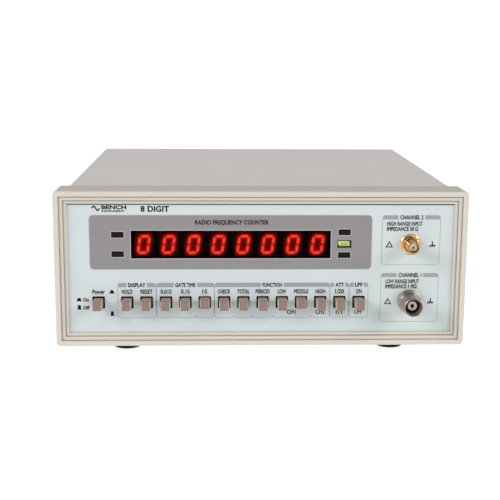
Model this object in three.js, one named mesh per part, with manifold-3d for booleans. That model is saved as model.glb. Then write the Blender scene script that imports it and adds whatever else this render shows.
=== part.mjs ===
// Bench frequency counter, built as an assembly of separate pieces.
//
// Millimetres, +Z up, front towards -Y. Inside the `instrument` group Y = 0 is the bezel's front
// face and Z = 0 is the bezel's bottom edge. The group is then placed so that the feet stand on
// Z = 0 and the whole counter, connectors included, is centred in X and Y.

import * as THREE from 'three';
import { mergeVertices } from 'three/addons/utils/BufferGeometryUtils.js';
import Module from 'manifold-3d';

const wasm = await Module();
wasm.setup();

// ---- Driving dimensions ----------------------------------------------------------------------

const GAP = 0.3; // free space between neighbouring pieces

// Case
const BEZEL_WIDTH = 212;
const BEZEL_HEIGHT = 81;
const BEZEL_DEPTH = 21.5;
const BEZEL_CORNER_RADIUS = 2.2;
const BEZEL_STEP_WIDTHS = [2.8, 4.9]; // distance in from the outer edge where each step goes down
const BEZEL_STEP_DEPTH = 1.05;
const OPENING_WIDTH = 198.4;
const OPENING_LOW = 6.75;
const OPENING_HIGH = 74.3;
const POCKET_WIDTH = 202;
const POCKET_LOW = 4.6;
const POCKET_HIGH = 76.6;
const LUG_X = 86; // the bezel's fixing lugs reach back inside the covers
const LUG_WIDTH = 12;
const LUG_LENGTH = 12.5;
const LUG_THICKNESS = 6;

const CASE_DEPTH = 211; // bezel front to the cover's rear edge
const SHEET = 1.2; // steel sheet thickness
const COVER_WIDTH = 201.9;
const COVER_TOP = 80.6;
const COVER_BOTTOM = 2;
const COVER_BEND_RADIUS = 1.5;
const COVER_NOTCH = { width: 3.2, reach: 5.2 };
const COVER_TAB_LOW = 8;
const COVER_TAB_HIGH = 72;
const COVER_TAB_LENGTH = 12;

const TRAY_FLANGE_HEIGHT = 20;
const TRAY_SLOT_COUNT = 8;
const TRAY_SLOT_PITCH = 7;
const TRAY_SLOT_WIDTH = 3;
const TRAY_SLOT_LENGTH = 30;
const TRAY_SLOT_Y = 165;

const FOOT_DROP = 9; // feet reach this far below the bezel
const FOOT_TOP_RADIUS = 9;
const FOOT_BOTTOM_RADIUS = 7.5;
const FOOT_CHAMFER = 0.7;
const FOOT_RECESS_RADIUS = 3.5;
const FOOT_RECESS_DEPTH = 5;
const FOOT_X = 72;
const FOOT_ROWS = { front: 32.7, rear: 181 };

const SCREW_RADIUS = 1.5;
const SCREW_HEAD_RADIUS = 3;
const SCREW_HEAD_HEIGHT = 2;
const SCREW_LENGTH = 6;
const SCREW_Z = 12.5;
const SCREW_ROWS = { front: 60, rear: 178 };

// Front panel and display
const PANEL_FRONT = 3.15; // recess of the panel behind the bezel's face
const PANEL_THICKNESS = 2;
const PANEL_REAR = PANEL_FRONT + PANEL_THICKNESS;
const WINDOW = { x: -15.7, z: 53.1, width: 102.7, height: 14.6 };
const FILTER_RECESS = 0.3;
const FILTER_THICKNESS = 1.5;
const DIGIT_COUNT = 8;
const DIGIT_PITCH = 12.8;
const DIGIT_ROW = { x: -15.8, z: 52.6 };
const DIGIT_SIZE = { width: 10.2, depth: 7, height: 13 };
const DIGIT_FACE = 5.6;
const LAMP_SIZE = { width: 6.6, height: 3.3 };
const LAMP_FACE = PANEL_FRONT + 0.15;
const LAMP_PLACES = [
  { name: 'lamp_left_upper', x: -73.8, z: 58.2 },
  { name: 'lamp_left_lower', x: -73.8, z: 48.1 },
  { name: 'lamp_right_upper', x: 42.7, z: 59.5 },
  { name: 'lamp_right_middle', x: 42.7, z: 53.3 },
  { name: 'lamp_right_lower', x: 42.7, z: 47.5 },
];
const DISPLAY_BOARD = { x: -15.7, z: 54, width: 146, height: 30, thickness: 1.6 };
const STUD_RADIUS = 2.5;

// Push buttons
const BUTTON_Z = 22.65;
const POWER_BUTTON_X = -84;
const BANK_FIRST_X = -69.3;
const BANK_PITCH = 10;
const BANK_BUTTONS = [
  'hold', 'reset', 'gate_10ms', 'gate_100ms', 'gate_1s', 'check', 'total', 'period',
  'low_band', 'mid_band', 'high_band', 'attenuator', 'low_pass',
];
const LATCHED_BUTTONS = ['gate_1s', 'mid_band'];
const LATCH_TRAVEL = 3.75;
const BUTTON_PROUD = 8.75; // a released button stands this far out of the panel
const BUTTON_HOLE = 6.4;
const CAP_FACE = 5.1;
const CAP_BASE = 4.8;
const CAP_EDGE = 0.3;
const CAP_LENGTH = 13;
const STEM_SIZE = 3;
const STEM_END = 46;
const SWITCH_FRONT = 14;
const SWITCH_DEPTH = 29;
const SWITCH_HEIGHT = 10.3;
const SWITCH_SLOT = 4.4;

// Connectors
const BNC_PLACE = { x: 77.15, z: 23 };
const BNC_PROUD = 14.6;
const BNC_BARREL_RADIUS = 4.8;
const BNC_BORE_RADIUS = 4.05;
const BNC_FLANGE_RADIUS = 6.15;
const BNC_FLANGE_THICKNESS = 2.1;
const BNC_SHANK_RADIUS = 4.7;
const BNC_SHANK_LENGTH = 11;
const BNC_LUG_RADIUS = 1;
const BNC_LUG_REACH = 5.5;
const BNC_LUG_SETBACK = 4.6;
const BNC_RIM_CHAMFER = 0.25;
const BNC_BORE_END = -4.5;
const BNC_INSULATOR = { inner: 1.3, outer: 2.4, front: -10.6, rear: 12.5 };
const BNC_CONTACT = { radius: 1, hole: 0.6, holeDepth: 4, front: -9.6, rear: 15 };
const BNC_NUT = { acrossFlats: 14, height: 2.5 };
const SMA_PLACE = { x: 76.9, z: 53.2 };
const SMA_PROUD = 11.5;
const SMA_BARREL_RADIUS = 3.175;
const SMA_BORE_RADIUS = 2.35;
const SMA_REAR = 9;
const SMA_FLANGE = { radius: 4.5, thickness: 2.2 };
const SMA_INSULATOR = { inner: 0.9, outer: 2.05, front: -9, rear: SMA_REAR };
const SMA_CONTACT = { radius: 0.6, hole: 0.3, holeDepth: 3, front: -8.8, rear: 9.5 };
const SMA_NUT = { acrossFlats: 8, height: 2.3 };
const SMA_WASHER = { radius: 5.3, thickness: 0.8 };

// Boards and the pieces inside
const BOARD = { low: 15.6, thickness: 1.6, width: 184, front: SWITCH_FRONT, rear: 130 };
const BOARD_TOP = BOARD.low + BOARD.thickness;
const POST_RADIUS = 3.5;
const POST_XS = [-80, 80];
const POST_YS = [55, 122];
const CRYSTAL = { x: 20, y: 90, width: 36, depth: 27, height: 19, corner: 2 };
const PRESCALER = { width: 28, front: 12, rear: 46, height: 24 };
const CAPACITOR = { x: -45, y: 108, radius: 8, height: 25, shoulder: 1 };
const TRANSFORMER = { x: -60, y: 155, width: 48, depth: 22, height: 40, limb: 8 };
const COIL_DEPTH = 36;

// Rear
const REAR_PANEL_REAR = CASE_DEPTH - 1.4;
const REAR_PANEL_THICKNESS = 1.5;
const INLET_PLACE = { x: -68, z: 34 };
const INLET_FLANGE = { width: 50, height: 33, thickness: 2.5 };
const INLET_BODY = { width: 27.3, height: 30.4, depth: 28 };
const INLET_SCREW_SPACING = 40;
const INLET_SCREW_HOLE_RADIUS = 1.7;
const SOCKET = { z: 5.5, width: 24.2, height: 16.4, corner: 5, depth: 16.5 };
const DRAWER = { z: -9.3, width: 22.4, height: 8, depth: 25, recess: 0.3 };
const VENT_COUNT = 8;
const VENT_PITCH = 7;
const VENT_SIZE = { width: 3, height: 26 };
const VENT_PLACE = { x: 40, z: 42 };

// ---- Materials -------------------------------------------------------------------------------

function finish(color, roughness, metalness) {
  return new THREE.MeshStandardMaterial({ color, roughness, metalness });
}

const FINISHES = {
  bezel: () => finish('#dcd2c4', 0.55, 0),
  panel: () => finish('#d6dee0', 0.5, 0),
  filter: () => finish('#120506', 0.12, 0),
  cover: () => finish('#bfbab5', 0.6, 0.1),
  button: () => finish('#a58c84', 0.5, 0),
  display: () => finish('#26211f', 0.6, 0),
  lampDark: () => finish('#2b2b26', 0.4, 0),
  lampLit: () => finish('#c8e85a', 0.3, 0),
  rubber: () => finish('#1c1c1c', 0.85, 0),
  nickel: () => finish('#b9b6ad', 0.3, 1),
  gold: () => finish('#cfa557', 0.3, 1),
  white: () => finish('#eeeae2', 0.5, 0),
  steel: () => finish('#a9abad', 0.4, 0.9),
  board: () => finish('#2f5a3c', 0.6, 0),
  black: () => finish('#1e1e20', 0.55, 0),
  copper: () => finish('#a7673c', 0.45, 0.6),
};

// ---- Geometry helpers ------------------------------------------------------------------------

function toManifold(geometry) {
  const plain = geometry.clone();
  plain.deleteAttribute('normal');
  plain.deleteAttribute('uv');
  const merged = mergeVertices(plain, 1e-4);
  return new wasm.Manifold(new wasm.Mesh({
    numProp: 3,
    vertProperties: new Float32Array(merged.attributes.position.array),
    triVerts: new Uint32Array(merged.index.array),
  }));
}

function toGeometry(manifold) {
  const result = manifold.getMesh();
  const geometry = new THREE.BufferGeometry();
  geometry.setAttribute('position', new THREE.BufferAttribute(result.vertProperties, 3));
  geometry.setIndex(new THREE.BufferAttribute(result.triVerts, 1));
  geometry.computeVertexNormals();
  return geometry;
}

function cut(base, tools) {
  return toGeometry(tools.reduce((rest, tool) => rest.subtract(toManifold(tool)), toManifold(base)));
}

function join(base, others) {
  return toGeometry(others.reduce((sum, other) => sum.add(toManifold(other)), toManifold(base)));
}

// A box from its low corner to its high corner.
function boxBetween([x0, y0, z0], [x1, y1, z1]) {
  const box = new THREE.BoxGeometry(x1 - x0, y1 - y0, z1 - z0);
  return box.translate((x0 + x1) / 2, (y0 + y1) / 2, (z0 + z1) / 2);
}

function roundedRectangle(width, height, radius, x = 0, z = 0) {
  const right = x + width / 2 - radius;
  const left = x - width / 2 + radius;
  const top = z + height / 2 - radius;
  const low = z - height / 2 + radius;
  const shape = new THREE.Shape();
  shape.absarc(right, low, radius, -Math.PI / 2, 0);
  shape.absarc(right, top, radius, 0, Math.PI / 2);
  shape.absarc(left, top, radius, Math.PI / 2, Math.PI);
  shape.absarc(left, low, radius, Math.PI, 1.5 * Math.PI);
  return shape;
}

function polygon(points) {
  return new THREE.Shape(points.map(([x, z]) => new THREE.Vector2(x, z)));
}

function rectangle(width, height, x = 0, z = 0) {
  const [halfWidth, halfHeight] = [width / 2, height / 2];
  return polygon([
    [x - halfWidth, z - halfHeight], [x + halfWidth, z - halfHeight],
    [x + halfWidth, z + halfHeight], [x - halfWidth, z + halfHeight],
  ]);
}

// A row of round-ended slots along X, centred on (x, z).
function slotRow(count, pitch, width, length, x, z) {
  return Array.from({ length: count }, (_, index) => roundedRectangle(
    width, length, width / 2, x + (index - (count - 1) / 2) * pitch, z,
  ));
}

function circle(radius, x = 0, z = 0) {
  return new THREE.Shape().absarc(x, z, radius, 0, 2 * Math.PI);
}

function hexagon(acrossFlats) {
  const radius = acrossFlats / Math.sqrt(3);
  const corners = Array.from({ length: 6 }, (_, index) => (index * Math.PI) / 3);
  return polygon(corners.map((angle) => [radius * Math.cos(angle), radius * Math.sin(angle)]));
}

// An X-Z outline pulled through from y0 to y1.
function alongY(shape, y0, y1, curveSegments = 6) {
  const settings = { depth: y1 - y0, bevelEnabled: false, curveSegments };
  return new THREE.ExtrudeGeometry(shape, settings).rotateX(Math.PI / 2).translate(0, y1, 0);
}

// An X-Y outline pulled through from z0 to z1.
function alongZ(shape, z0, z1, curveSegments = 6) {
  const settings = { depth: z1 - z0, bevelEnabled: false, curveSegments };
  return new THREE.ExtrudeGeometry(shape, settings).translate(0, 0, z0);
}

// A plate along Y with through holes of the given outlines.
function platePierced(outline, holes, y0, y1, curveSegments) {
  return cut(
    alongY(outline, y0, y1, curveSegments),
    holes.map((hole) => alongY(hole, y0 - 1, y1 + 1, curveSegments)),
  );
}

// A profile of [radius, y] points turned about the Y axis.
function turnedY(profile, segments) {
  return new THREE.LatheGeometry(profile.map(([r, y]) => new THREE.Vector2(r, y)), segments);
}

// A profile of [radius, z] points turned about the Z axis.
function turnedZ(profile, segments) {
  return turnedY(profile, segments).rotateX(Math.PI / 2);
}

// ---- Assembly helpers ------------------------------------------------------------------------

const counter = new THREE.Group();
const instrument = new THREE.Group();
counter.add(instrument);

function place(name, geometry, material, x = 0, y = 0, z = 0) {
  const mesh = new THREE.Mesh(geometry, material);
  mesh.name = name;
  mesh.position.set(x, y, z);
  instrument.add(mesh);
}

function bankX(index) {
  return BANK_FIRST_X + index * BANK_PITCH;
}

// ---- Front: bezel, panel, display ------------------------------------------------------------

function makeBezel() {
  const middle = BEZEL_HEIGHT / 2;
  const block = alongY(
    roundedRectangle(BEZEL_WIDTH, BEZEL_HEIGHT, BEZEL_CORNER_RADIUS, 0, middle), 0, BEZEL_DEPTH,
  );
  const lipRear = PANEL_FRONT - GAP;
  const steps = BEZEL_STEP_WIDTHS.map((inset, index) => boxBetween(
    [inset - BEZEL_WIDTH / 2, -1, inset],
    [BEZEL_WIDTH / 2 - inset, (index + 1) * BEZEL_STEP_DEPTH, BEZEL_HEIGHT - inset],
  ));
  const opening = boxBetween(
    [-OPENING_WIDTH / 2, -1, OPENING_LOW], [OPENING_WIDTH / 2, lipRear + 1, OPENING_HIGH],
  );
  const pocket = boxBetween(
    [-POCKET_WIDTH / 2, lipRear, POCKET_LOW], [POCKET_WIDTH / 2, BEZEL_DEPTH + 1, POCKET_HIGH],
  );
  const frame = cut(block, [...steps, opening, pocket]);
  const lugs = [];
  for (const side of [-1, 1]) {
    const left = side * LUG_X - LUG_WIDTH / 2;
    const right = side * LUG_X + LUG_WIDTH / 2;
    const front = BEZEL_DEPTH - LUG_LENGTH / 2;
    const rear = BEZEL_DEPTH + LUG_LENGTH;
    const trayTop = COVER_BOTTOM + GAP + SHEET;
    const coverInside = COVER_TOP - SHEET;
    lugs.push(boxBetween(
      [left, front, trayTop + GAP], [right, rear, trayTop + GAP + LUG_THICKNESS],
    ));
    lugs.push(boxBetween(
      [left, front, coverInside - GAP - LUG_THICKNESS], [right, rear, coverInside - GAP],
    ));
  }
  return join(frame, lugs);
}

function makeFrontPanel() {
  const width = POCKET_WIDTH - 2 * GAP;
  const low = POCKET_LOW + GAP;
  const high = POCKET_HIGH - GAP;
  const plate = rectangle(width, high - low, 0, (low + high) / 2);
  const buttonXs = [POWER_BUTTON_X, ...BANK_BUTTONS.map((_, index) => bankX(index))];
  const holes = [
    rectangle(WINDOW.width, WINDOW.height, WINDOW.x, WINDOW.z),
    ...LAMP_PLACES.map(({ x, z }) => rectangle(LAMP_SIZE.width, LAMP_SIZE.height, x, z)),
    ...buttonXs.map((x) => rectangle(BUTTON_HOLE, BUTTON_HOLE, x, BUTTON_Z)),
    circle(BNC_SHANK_RADIUS + GAP, BNC_PLACE.x, BNC_PLACE.z),
    circle(SMA_BARREL_RADIUS + GAP, SMA_PLACE.x, SMA_PLACE.z),
  ];
  const studs = [];
  const studEnd = DIGIT_FACE + DIGIT_SIZE.depth;
  for (const side of [-1, 1]) {
    for (const level of [-1, 1]) {
      const x = DISPLAY_BOARD.x + side * (DISPLAY_BOARD.width / 2 - 2 * STUD_RADIUS);
      const z = DISPLAY_BOARD.z + level * (DISPLAY_BOARD.height / 2 - STUD_RADIUS);
      const stud = new THREE.CylinderGeometry(STUD_RADIUS, STUD_RADIUS, studEnd - PANEL_REAR + 1, 10);
      studs.push(stud.translate(x, (studEnd + PANEL_REAR - 1) / 2, z));
    }
  }
  return join(platePierced(plate, holes, PANEL_FRONT, PANEL_REAR), studs);
}

place('front_bezel', makeBezel(), FINISHES.bezel());
place('front_panel', makeFrontPanel(), FINISHES.panel());

const filter = boxBetween(
  [GAP - WINDOW.width / 2, 0, GAP - WINDOW.height / 2],
  [WINDOW.width / 2 - GAP, FILTER_THICKNESS, WINDOW.height / 2 - GAP],
);
place('display_filter', filter, FINISHES.filter(), WINDOW.x, PANEL_FRONT + FILTER_RECESS, WINDOW.z);

for (let index = 0; index < DIGIT_COUNT; index += 1) {
  const digit = boxBetween(
    [-DIGIT_SIZE.width / 2, 0, -DIGIT_SIZE.height / 2],
    [DIGIT_SIZE.width / 2, DIGIT_SIZE.depth, DIGIT_SIZE.height / 2],
  );
  const x = DIGIT_ROW.x + (index - (DIGIT_COUNT - 1) / 2) * DIGIT_PITCH;
  place(`digit_${index + 1}`, digit, FINISHES.display(), x, DIGIT_FACE, DIGIT_ROW.z);
}

for (const lamp of LAMP_PLACES) {
  const lens = boxBetween(
    [-LAMP_SIZE.width / 2 + GAP, 0, -LAMP_SIZE.height / 2 + GAP],
    [LAMP_SIZE.width / 2 - GAP, DIGIT_FACE + DIGIT_SIZE.depth - LAMP_FACE, LAMP_SIZE.height / 2 - GAP],
  );
  const lit = lamp.name === 'lamp_right_middle';
  place(lamp.name, lens, lit ? FINISHES.lampLit() : FINISHES.lampDark(), lamp.x, LAMP_FACE, lamp.z);
}

const displayBoard = boxBetween(
  [-DISPLAY_BOARD.width / 2, 0, -DISPLAY_BOARD.height / 2],
  [DISPLAY_BOARD.width / 2, DISPLAY_BOARD.thickness, DISPLAY_BOARD.height / 2],
);
const displayBoardY = DIGIT_FACE + DIGIT_SIZE.depth + GAP;
place('display_board', displayBoard, FINISHES.board(), DISPLAY_BOARD.x, displayBoardY, DISPLAY_BOARD.z);

// ---- Push buttons and their switches ---------------------------------------------------------

// A square cap and stem in one: a four-sided turned profile, its flats along X and Z. Y = 0 is the
// cap's face.
function makeButton() {
  const halfDiagonal = Math.SQRT1_2;
  const stemLength = STEM_END - PANEL_FRONT + BUTTON_PROUD;
  const profile = [
    [0, 0],
    [(CAP_FACE - 2 * CAP_EDGE) * halfDiagonal, 0],
    [CAP_FACE * halfDiagonal, CAP_EDGE],
    [CAP_BASE * halfDiagonal, CAP_LENGTH],
    [STEM_SIZE * halfDiagonal, CAP_LENGTH],
    [STEM_SIZE * halfDiagonal, stemLength],
    [0, stemLength],
  ];
  return turnedY(profile, 4).rotateY(Math.PI / 4);
}

function placeButton(name, x) {
  const proud = LATCHED_BUTTONS.includes(name) ? BUTTON_PROUD - LATCH_TRAVEL : BUTTON_PROUD;
  place(`button_${name}`, makeButton(), FINISHES.button(), x, PANEL_FRONT - proud, BUTTON_Z);
}

placeButton('power', POWER_BUTTON_X);
BANK_BUTTONS.forEach((name, index) => placeButton(name, bankX(index)));

// A switch body standing on the main board, with a square way through it for each stem.
function makeSwitchBody(firstX, lastX, stemXs) {
  const low = BOARD_TOP + GAP;
  const body = rectangle(
    lastX - firstX, SWITCH_HEIGHT, (firstX + lastX) / 2, low + SWITCH_HEIGHT / 2,
  );
  const ways = stemXs.map((x) => rectangle(SWITCH_SLOT, SWITCH_SLOT, x, BUTTON_Z));
  return platePierced(body, ways, SWITCH_FRONT, SWITCH_FRONT + SWITCH_DEPTH);
}

const bankXs = BANK_BUTTONS.map((_, index) => bankX(index));
const halfStation = BANK_PITCH / 2;
place('switch_bank', makeSwitchBody(bankXs[0] - halfStation, bankXs.at(-1) + halfStation, bankXs),
  FINISHES.steel());
place('power_switch',
  makeSwitchBody(POWER_BUTTON_X - halfStation, POWER_BUTTON_X + halfStation, [POWER_BUTTON_X]),
  FINISHES.black());

// ---- Connectors ------------------------------------------------------------------------------

function makeBncShell() {
  const insulatorHole = BNC_INSULATOR.outer + GAP;
  const shell = turnedY([
    [BNC_BORE_RADIUS, -BNC_PROUD],
    [BNC_BARREL_RADIUS - BNC_RIM_CHAMFER, -BNC_PROUD],
    [BNC_BARREL_RADIUS, GAP - BNC_PROUD],
    [BNC_BARREL_RADIUS, -GAP - BNC_FLANGE_THICKNESS],
    [BNC_FLANGE_RADIUS, -GAP - BNC_FLANGE_THICKNESS],
    [BNC_FLANGE_RADIUS, -GAP],
    [BNC_SHANK_RADIUS, -GAP],
    [BNC_SHANK_RADIUS, BNC_SHANK_LENGTH],
    [insulatorHole, BNC_SHANK_LENGTH],
    [insulatorHole, BNC_BORE_END],
    [BNC_BORE_RADIUS, BNC_BORE_END],
    [BNC_BORE_RADIUS, -BNC_PROUD],
  ], 32);
  const lugs = [-1, 1].map((side) => {
    const reach = BNC_LUG_REACH - BNC_BORE_RADIUS - GAP;
    const lug = new THREE.CylinderGeometry(BNC_LUG_RADIUS, BNC_LUG_RADIUS, reach, 12);
    const middle = side * (BNC_LUG_REACH - reach / 2);
    return lug.rotateX(Math.PI / 2).translate(0, BNC_LUG_SETBACK - BNC_PROUD, middle);
  });
  return join(shell, lugs);
}

// A turned ring between two radii.
function makeSleeve({ inner, outer, front, rear }, segments) {
  const profile = [[inner, front], [outer, front], [outer, rear], [inner, rear], [inner, front]];
  return turnedY(profile, segments);
}

// A turned socket contact: a pin with a blind hole in its front end.
function makeContact({ radius, hole, holeDepth, front, rear }) {
  return turnedY([
    [0, front + holeDepth], [hole, front + holeDepth], [hole, front], [radius, front],
    [radius, rear], [0, rear],
  ], 16);
}

function makeHexNut({ acrossFlats, height }, holeRadius, front) {
  return platePierced(hexagon(acrossFlats), [circle(holeRadius)], front, front + height, 12);
}

function placeOnPanel(name, geometry, material, spot) {
  place(name, geometry, material, spot.x, PANEL_FRONT, spot.z);
}

placeOnPanel('bnc_shell', makeBncShell(), FINISHES.nickel(), BNC_PLACE);
placeOnPanel('bnc_insulator', makeSleeve(BNC_INSULATOR, 24), FINISHES.white(), BNC_PLACE);
placeOnPanel('bnc_contact', makeContact(BNC_CONTACT), FINISHES.gold(), BNC_PLACE);
placeOnPanel('bnc_nut', makeHexNut(BNC_NUT, BNC_SHANK_RADIUS + GAP, PANEL_THICKNESS + GAP),
  FINISHES.nickel(), BNC_PLACE);

const smaFlangeFront = PANEL_THICKNESS + GAP;
const smaFlangeRear = smaFlangeFront + SMA_FLANGE.thickness;
const smaShell = turnedY([
  [SMA_BORE_RADIUS, -SMA_PROUD],
  [SMA_BARREL_RADIUS - GAP, -SMA_PROUD],
  [SMA_BARREL_RADIUS, GAP - SMA_PROUD],
  [SMA_BARREL_RADIUS, smaFlangeFront],
  [SMA_FLANGE.radius, smaFlangeFront],
  [SMA_FLANGE.radius, smaFlangeRear],
  [SMA_BARREL_RADIUS, smaFlangeRear],
  [SMA_BARREL_RADIUS, SMA_REAR],
  [SMA_BORE_RADIUS, SMA_REAR],
  [SMA_BORE_RADIUS, -SMA_PROUD],
], 24);
placeOnPanel('sma_shell', smaShell, FINISHES.gold(), SMA_PLACE);
placeOnPanel('sma_insulator', makeSleeve(SMA_INSULATOR, 20), FINISHES.white(), SMA_PLACE);
placeOnPanel('sma_contact', makeContact(SMA_CONTACT), FINISHES.gold(), SMA_PLACE);

// The nut and its washer are one turned piece; the washer laps a little into the nut.
const smaNutHole = SMA_BARREL_RADIUS + GAP;
const smaWasherFront = -GAP - SMA_WASHER.thickness;
const smaWasher = makeSleeve({
  inner: smaNutHole, outer: SMA_WASHER.radius, front: smaWasherFront - 0.1, rear: -GAP,
}, 20);
const smaNut = join(makeHexNut(SMA_NUT, smaNutHole, smaWasherFront - SMA_NUT.height), [smaWasher]);
placeOnPanel('sma_nut', smaNut, FINISHES.gold(), SMA_PLACE);

// ---- Covers, rear panel, feet, screws --------------------------------------------------------

function screwHoles() {
  const radius = SCREW_RADIUS + GAP;
  return Object.values(SCREW_ROWS).map((y) => new THREE.CylinderGeometry(radius, radius, 250, 12)
    .rotateZ(Math.PI / 2).translate(0, y, SCREW_Z));
}

// The cover's bent section: down one side, over the top and down the other, with round bends.
function makeCoverSection() {
  const [half, inner] = [COVER_WIDTH / 2, COVER_BEND_RADIUS - SHEET];
  const [bendX, bendZ] = [half - COVER_BEND_RADIUS, COVER_TOP - COVER_BEND_RADIUS];
  const shape = new THREE.Shape();
  shape.moveTo(half - SHEET, COVER_BOTTOM);
  shape.lineTo(half, COVER_BOTTOM);
  shape.absarc(bendX, bendZ, COVER_BEND_RADIUS, 0, Math.PI / 2);
  shape.absarc(-bendX, bendZ, COVER_BEND_RADIUS, Math.PI / 2, Math.PI);
  shape.lineTo(-half, COVER_BOTTOM);
  shape.lineTo(SHEET - half, COVER_BOTTOM);
  shape.absarc(-bendX, bendZ, inner, Math.PI, Math.PI / 2, true);
  shape.absarc(bendX, bendZ, inner, Math.PI / 2, 0, true);
  return shape;
}

function makeTopCover() {
  const front = BEZEL_DEPTH + GAP;
  const half = COVER_WIDTH / 2;
  const channel = alongY(makeCoverSection(), front, CASE_DEPTH);
  const tabs = [-1, 1].map((side) => boxBetween(
    [side > 0 ? half - SHEET : -half, front - COVER_TAB_LENGTH, COVER_TAB_LOW],
    [side > 0 ? half : SHEET - half, front + 1, COVER_TAB_HIGH],
  ));
  const slot = roundedRectangle(COVER_NOTCH.width, 2 * COVER_NOTCH.reach, COVER_NOTCH.width / 2, 0, front);
  const notch = alongZ(slot, COVER_TOP - SHEET - 1, COVER_TOP + 1);
  return cut(join(channel, tabs), [notch, ...screwHoles()]);
}

function makeBottomTray() {
  const front = BEZEL_DEPTH + GAP;
  const rear = CASE_DEPTH - GAP;
  const half = COVER_WIDTH / 2 - SHEET - GAP;
  const low = COVER_BOTTOM + GAP;
  const plate = boxBetween([-half, front, low], [half, rear, low + SHEET]);
  const slots = slotRow(
    TRAY_SLOT_COUNT, TRAY_SLOT_PITCH, TRAY_SLOT_WIDTH, TRAY_SLOT_LENGTH, 0, TRAY_SLOT_Y,
  ).map((slot) => alongZ(slot, low - 1, low + SHEET + 1, 4));
  const flanges = [-1, 1].map((side) => boxBetween(
    [side > 0 ? half - SHEET : -half, front, low],
    [side > 0 ? half : SHEET - half, rear, low + TRAY_FLANGE_HEIGHT],
  ));
  const postTop = BOARD.low - GAP;
  const posts = [];
  for (const x of POST_XS) {
    for (const y of POST_YS) {
      const post = new THREE.CylinderGeometry(POST_RADIUS, POST_RADIUS, postTop - low, 12);
      posts.push(post.rotateX(Math.PI / 2).translate(x, y, (postTop + low) / 2));
    }
  }
  return cut(join(plate, [...flanges, ...posts]), [...slots, ...screwHoles()]);
}

function makeRearPanel() {
  const wide = COVER_WIDTH / 2 - SHEET - GAP;
  const narrow = wide - SHEET - GAP;
  const low = COVER_BOTTOM + 2 * GAP + SHEET;
  const shoulder = COVER_BOTTOM + 2 * GAP + TRAY_FLANGE_HEIGHT;
  const high = COVER_TOP - SHEET - GAP;
  const plate = polygon([
    [-narrow, low], [narrow, low], [narrow, shoulder], [wide, shoulder],
    [wide, high], [-wide, high], [-wide, shoulder], [-narrow, shoulder],
  ]);
  const [cutWidth, cutHeight] = [INLET_BODY.width + 2 * GAP, INLET_BODY.height + 2 * GAP];
  const holes = [
    rectangle(cutWidth, cutHeight, INLET_PLACE.x, INLET_PLACE.z),
    ...slotRow(
      VENT_COUNT, VENT_PITCH, VENT_SIZE.width, VENT_SIZE.height, VENT_PLACE.x, VENT_PLACE.z,
    ),
  ];
  return platePierced(plate, holes, REAR_PANEL_REAR - REAR_PANEL_THICKNESS, REAR_PANEL_REAR, 4);
}

place('top_cover', makeTopCover(), FINISHES.cover());
place('bottom_tray', makeBottomTray(), FINISHES.cover());
place('rear_panel', makeRearPanel(), FINISHES.cover());

const foot = turnedZ([
  [0, FOOT_RECESS_DEPTH - FOOT_DROP],
  [FOOT_RECESS_RADIUS, FOOT_RECESS_DEPTH - FOOT_DROP],
  [FOOT_RECESS_RADIUS, -FOOT_DROP],
  [FOOT_BOTTOM_RADIUS - FOOT_CHAMFER, -FOOT_DROP],
  [FOOT_BOTTOM_RADIUS, FOOT_CHAMFER - FOOT_DROP],
  [FOOT_TOP_RADIUS, COVER_BOTTOM],
  [0, COVER_BOTTOM],
], 24);
const coverScrew = turnedZ([
  [0, -SCREW_LENGTH],
  [SCREW_RADIUS, -SCREW_LENGTH],
  [SCREW_RADIUS, GAP],
  [SCREW_HEAD_RADIUS, GAP],
  [SCREW_HEAD_RADIUS, 0.6 * SCREW_HEAD_HEIGHT + GAP],
  [0.7 * SCREW_HEAD_RADIUS, SCREW_HEAD_HEIGHT + GAP],
  [0, SCREW_HEAD_HEIGHT + GAP],
], 16);

for (const [side, sign] of [['left', -1], ['right', 1]]) {
  for (const row of ['front', 'rear']) {
    place(`foot_${row}_${side}`, foot.clone(), FINISHES.rubber(), sign * FOOT_X, FOOT_ROWS[row]);
    place(`cover_screw_${row}_${side}`, coverScrew.clone().rotateY((sign * Math.PI) / 2),
      FINISHES.steel(), (sign * COVER_WIDTH) / 2, SCREW_ROWS[row], SCREW_Z);
  }
}

// ---- Inside: main board and what it carries --------------------------------------------------

const mainBoard = boxBetween(
  [-BOARD.width / 2, BOARD.front, BOARD.low], [BOARD.width / 2, BOARD.rear, BOARD_TOP],
);
place('main_board', mainBoard, FINISHES.board());

// The pieces on the board stand a gap above it.
const crystalCan = roundedRectangle(CRYSTAL.width, CRYSTAL.depth, CRYSTAL.corner);
place('crystal_oscillator', alongZ(crystalCan, GAP, GAP + CRYSTAL.height, 3), FINISHES.steel(),
  CRYSTAL.x, CRYSTAL.y, BOARD_TOP);
const prescalerCan = boxBetween(
  [-PRESCALER.width / 2, PRESCALER.front, -PRESCALER.height / 2],
  [PRESCALER.width / 2, PRESCALER.rear, PRESCALER.height / 2],
);
place('prescaler_can', prescalerCan, FINISHES.steel(), SMA_PLACE.x, PANEL_FRONT, SMA_PLACE.z);
const capacitor = turnedZ([
  [0, GAP],
  [CAPACITOR.radius, GAP],
  [CAPACITOR.radius, CAPACITOR.height - CAPACITOR.shoulder],
  [CAPACITOR.radius - CAPACITOR.shoulder, CAPACITOR.height],
  [0, CAPACITOR.height],
], 20);
place('filter_capacitor', capacitor, FINISHES.black(), CAPACITOR.x, CAPACITOR.y, BOARD_TOP);

// Two-window laminated core, pulled through along Y, with the coil round its middle limb.
function makeTransformerCore() {
  const { width, depth, height, limb } = TRANSFORMER;
  const windowWidth = (width - 4 * limb) / 2;
  const windows = [-1, 1].map((side) => rectangle(
    windowWidth, height - 2 * limb, side * (limb + windowWidth / 2), height / 2,
  ));
  return platePierced(rectangle(width, height, 0, height / 2), windows, -depth / 2, depth / 2);
}

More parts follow.
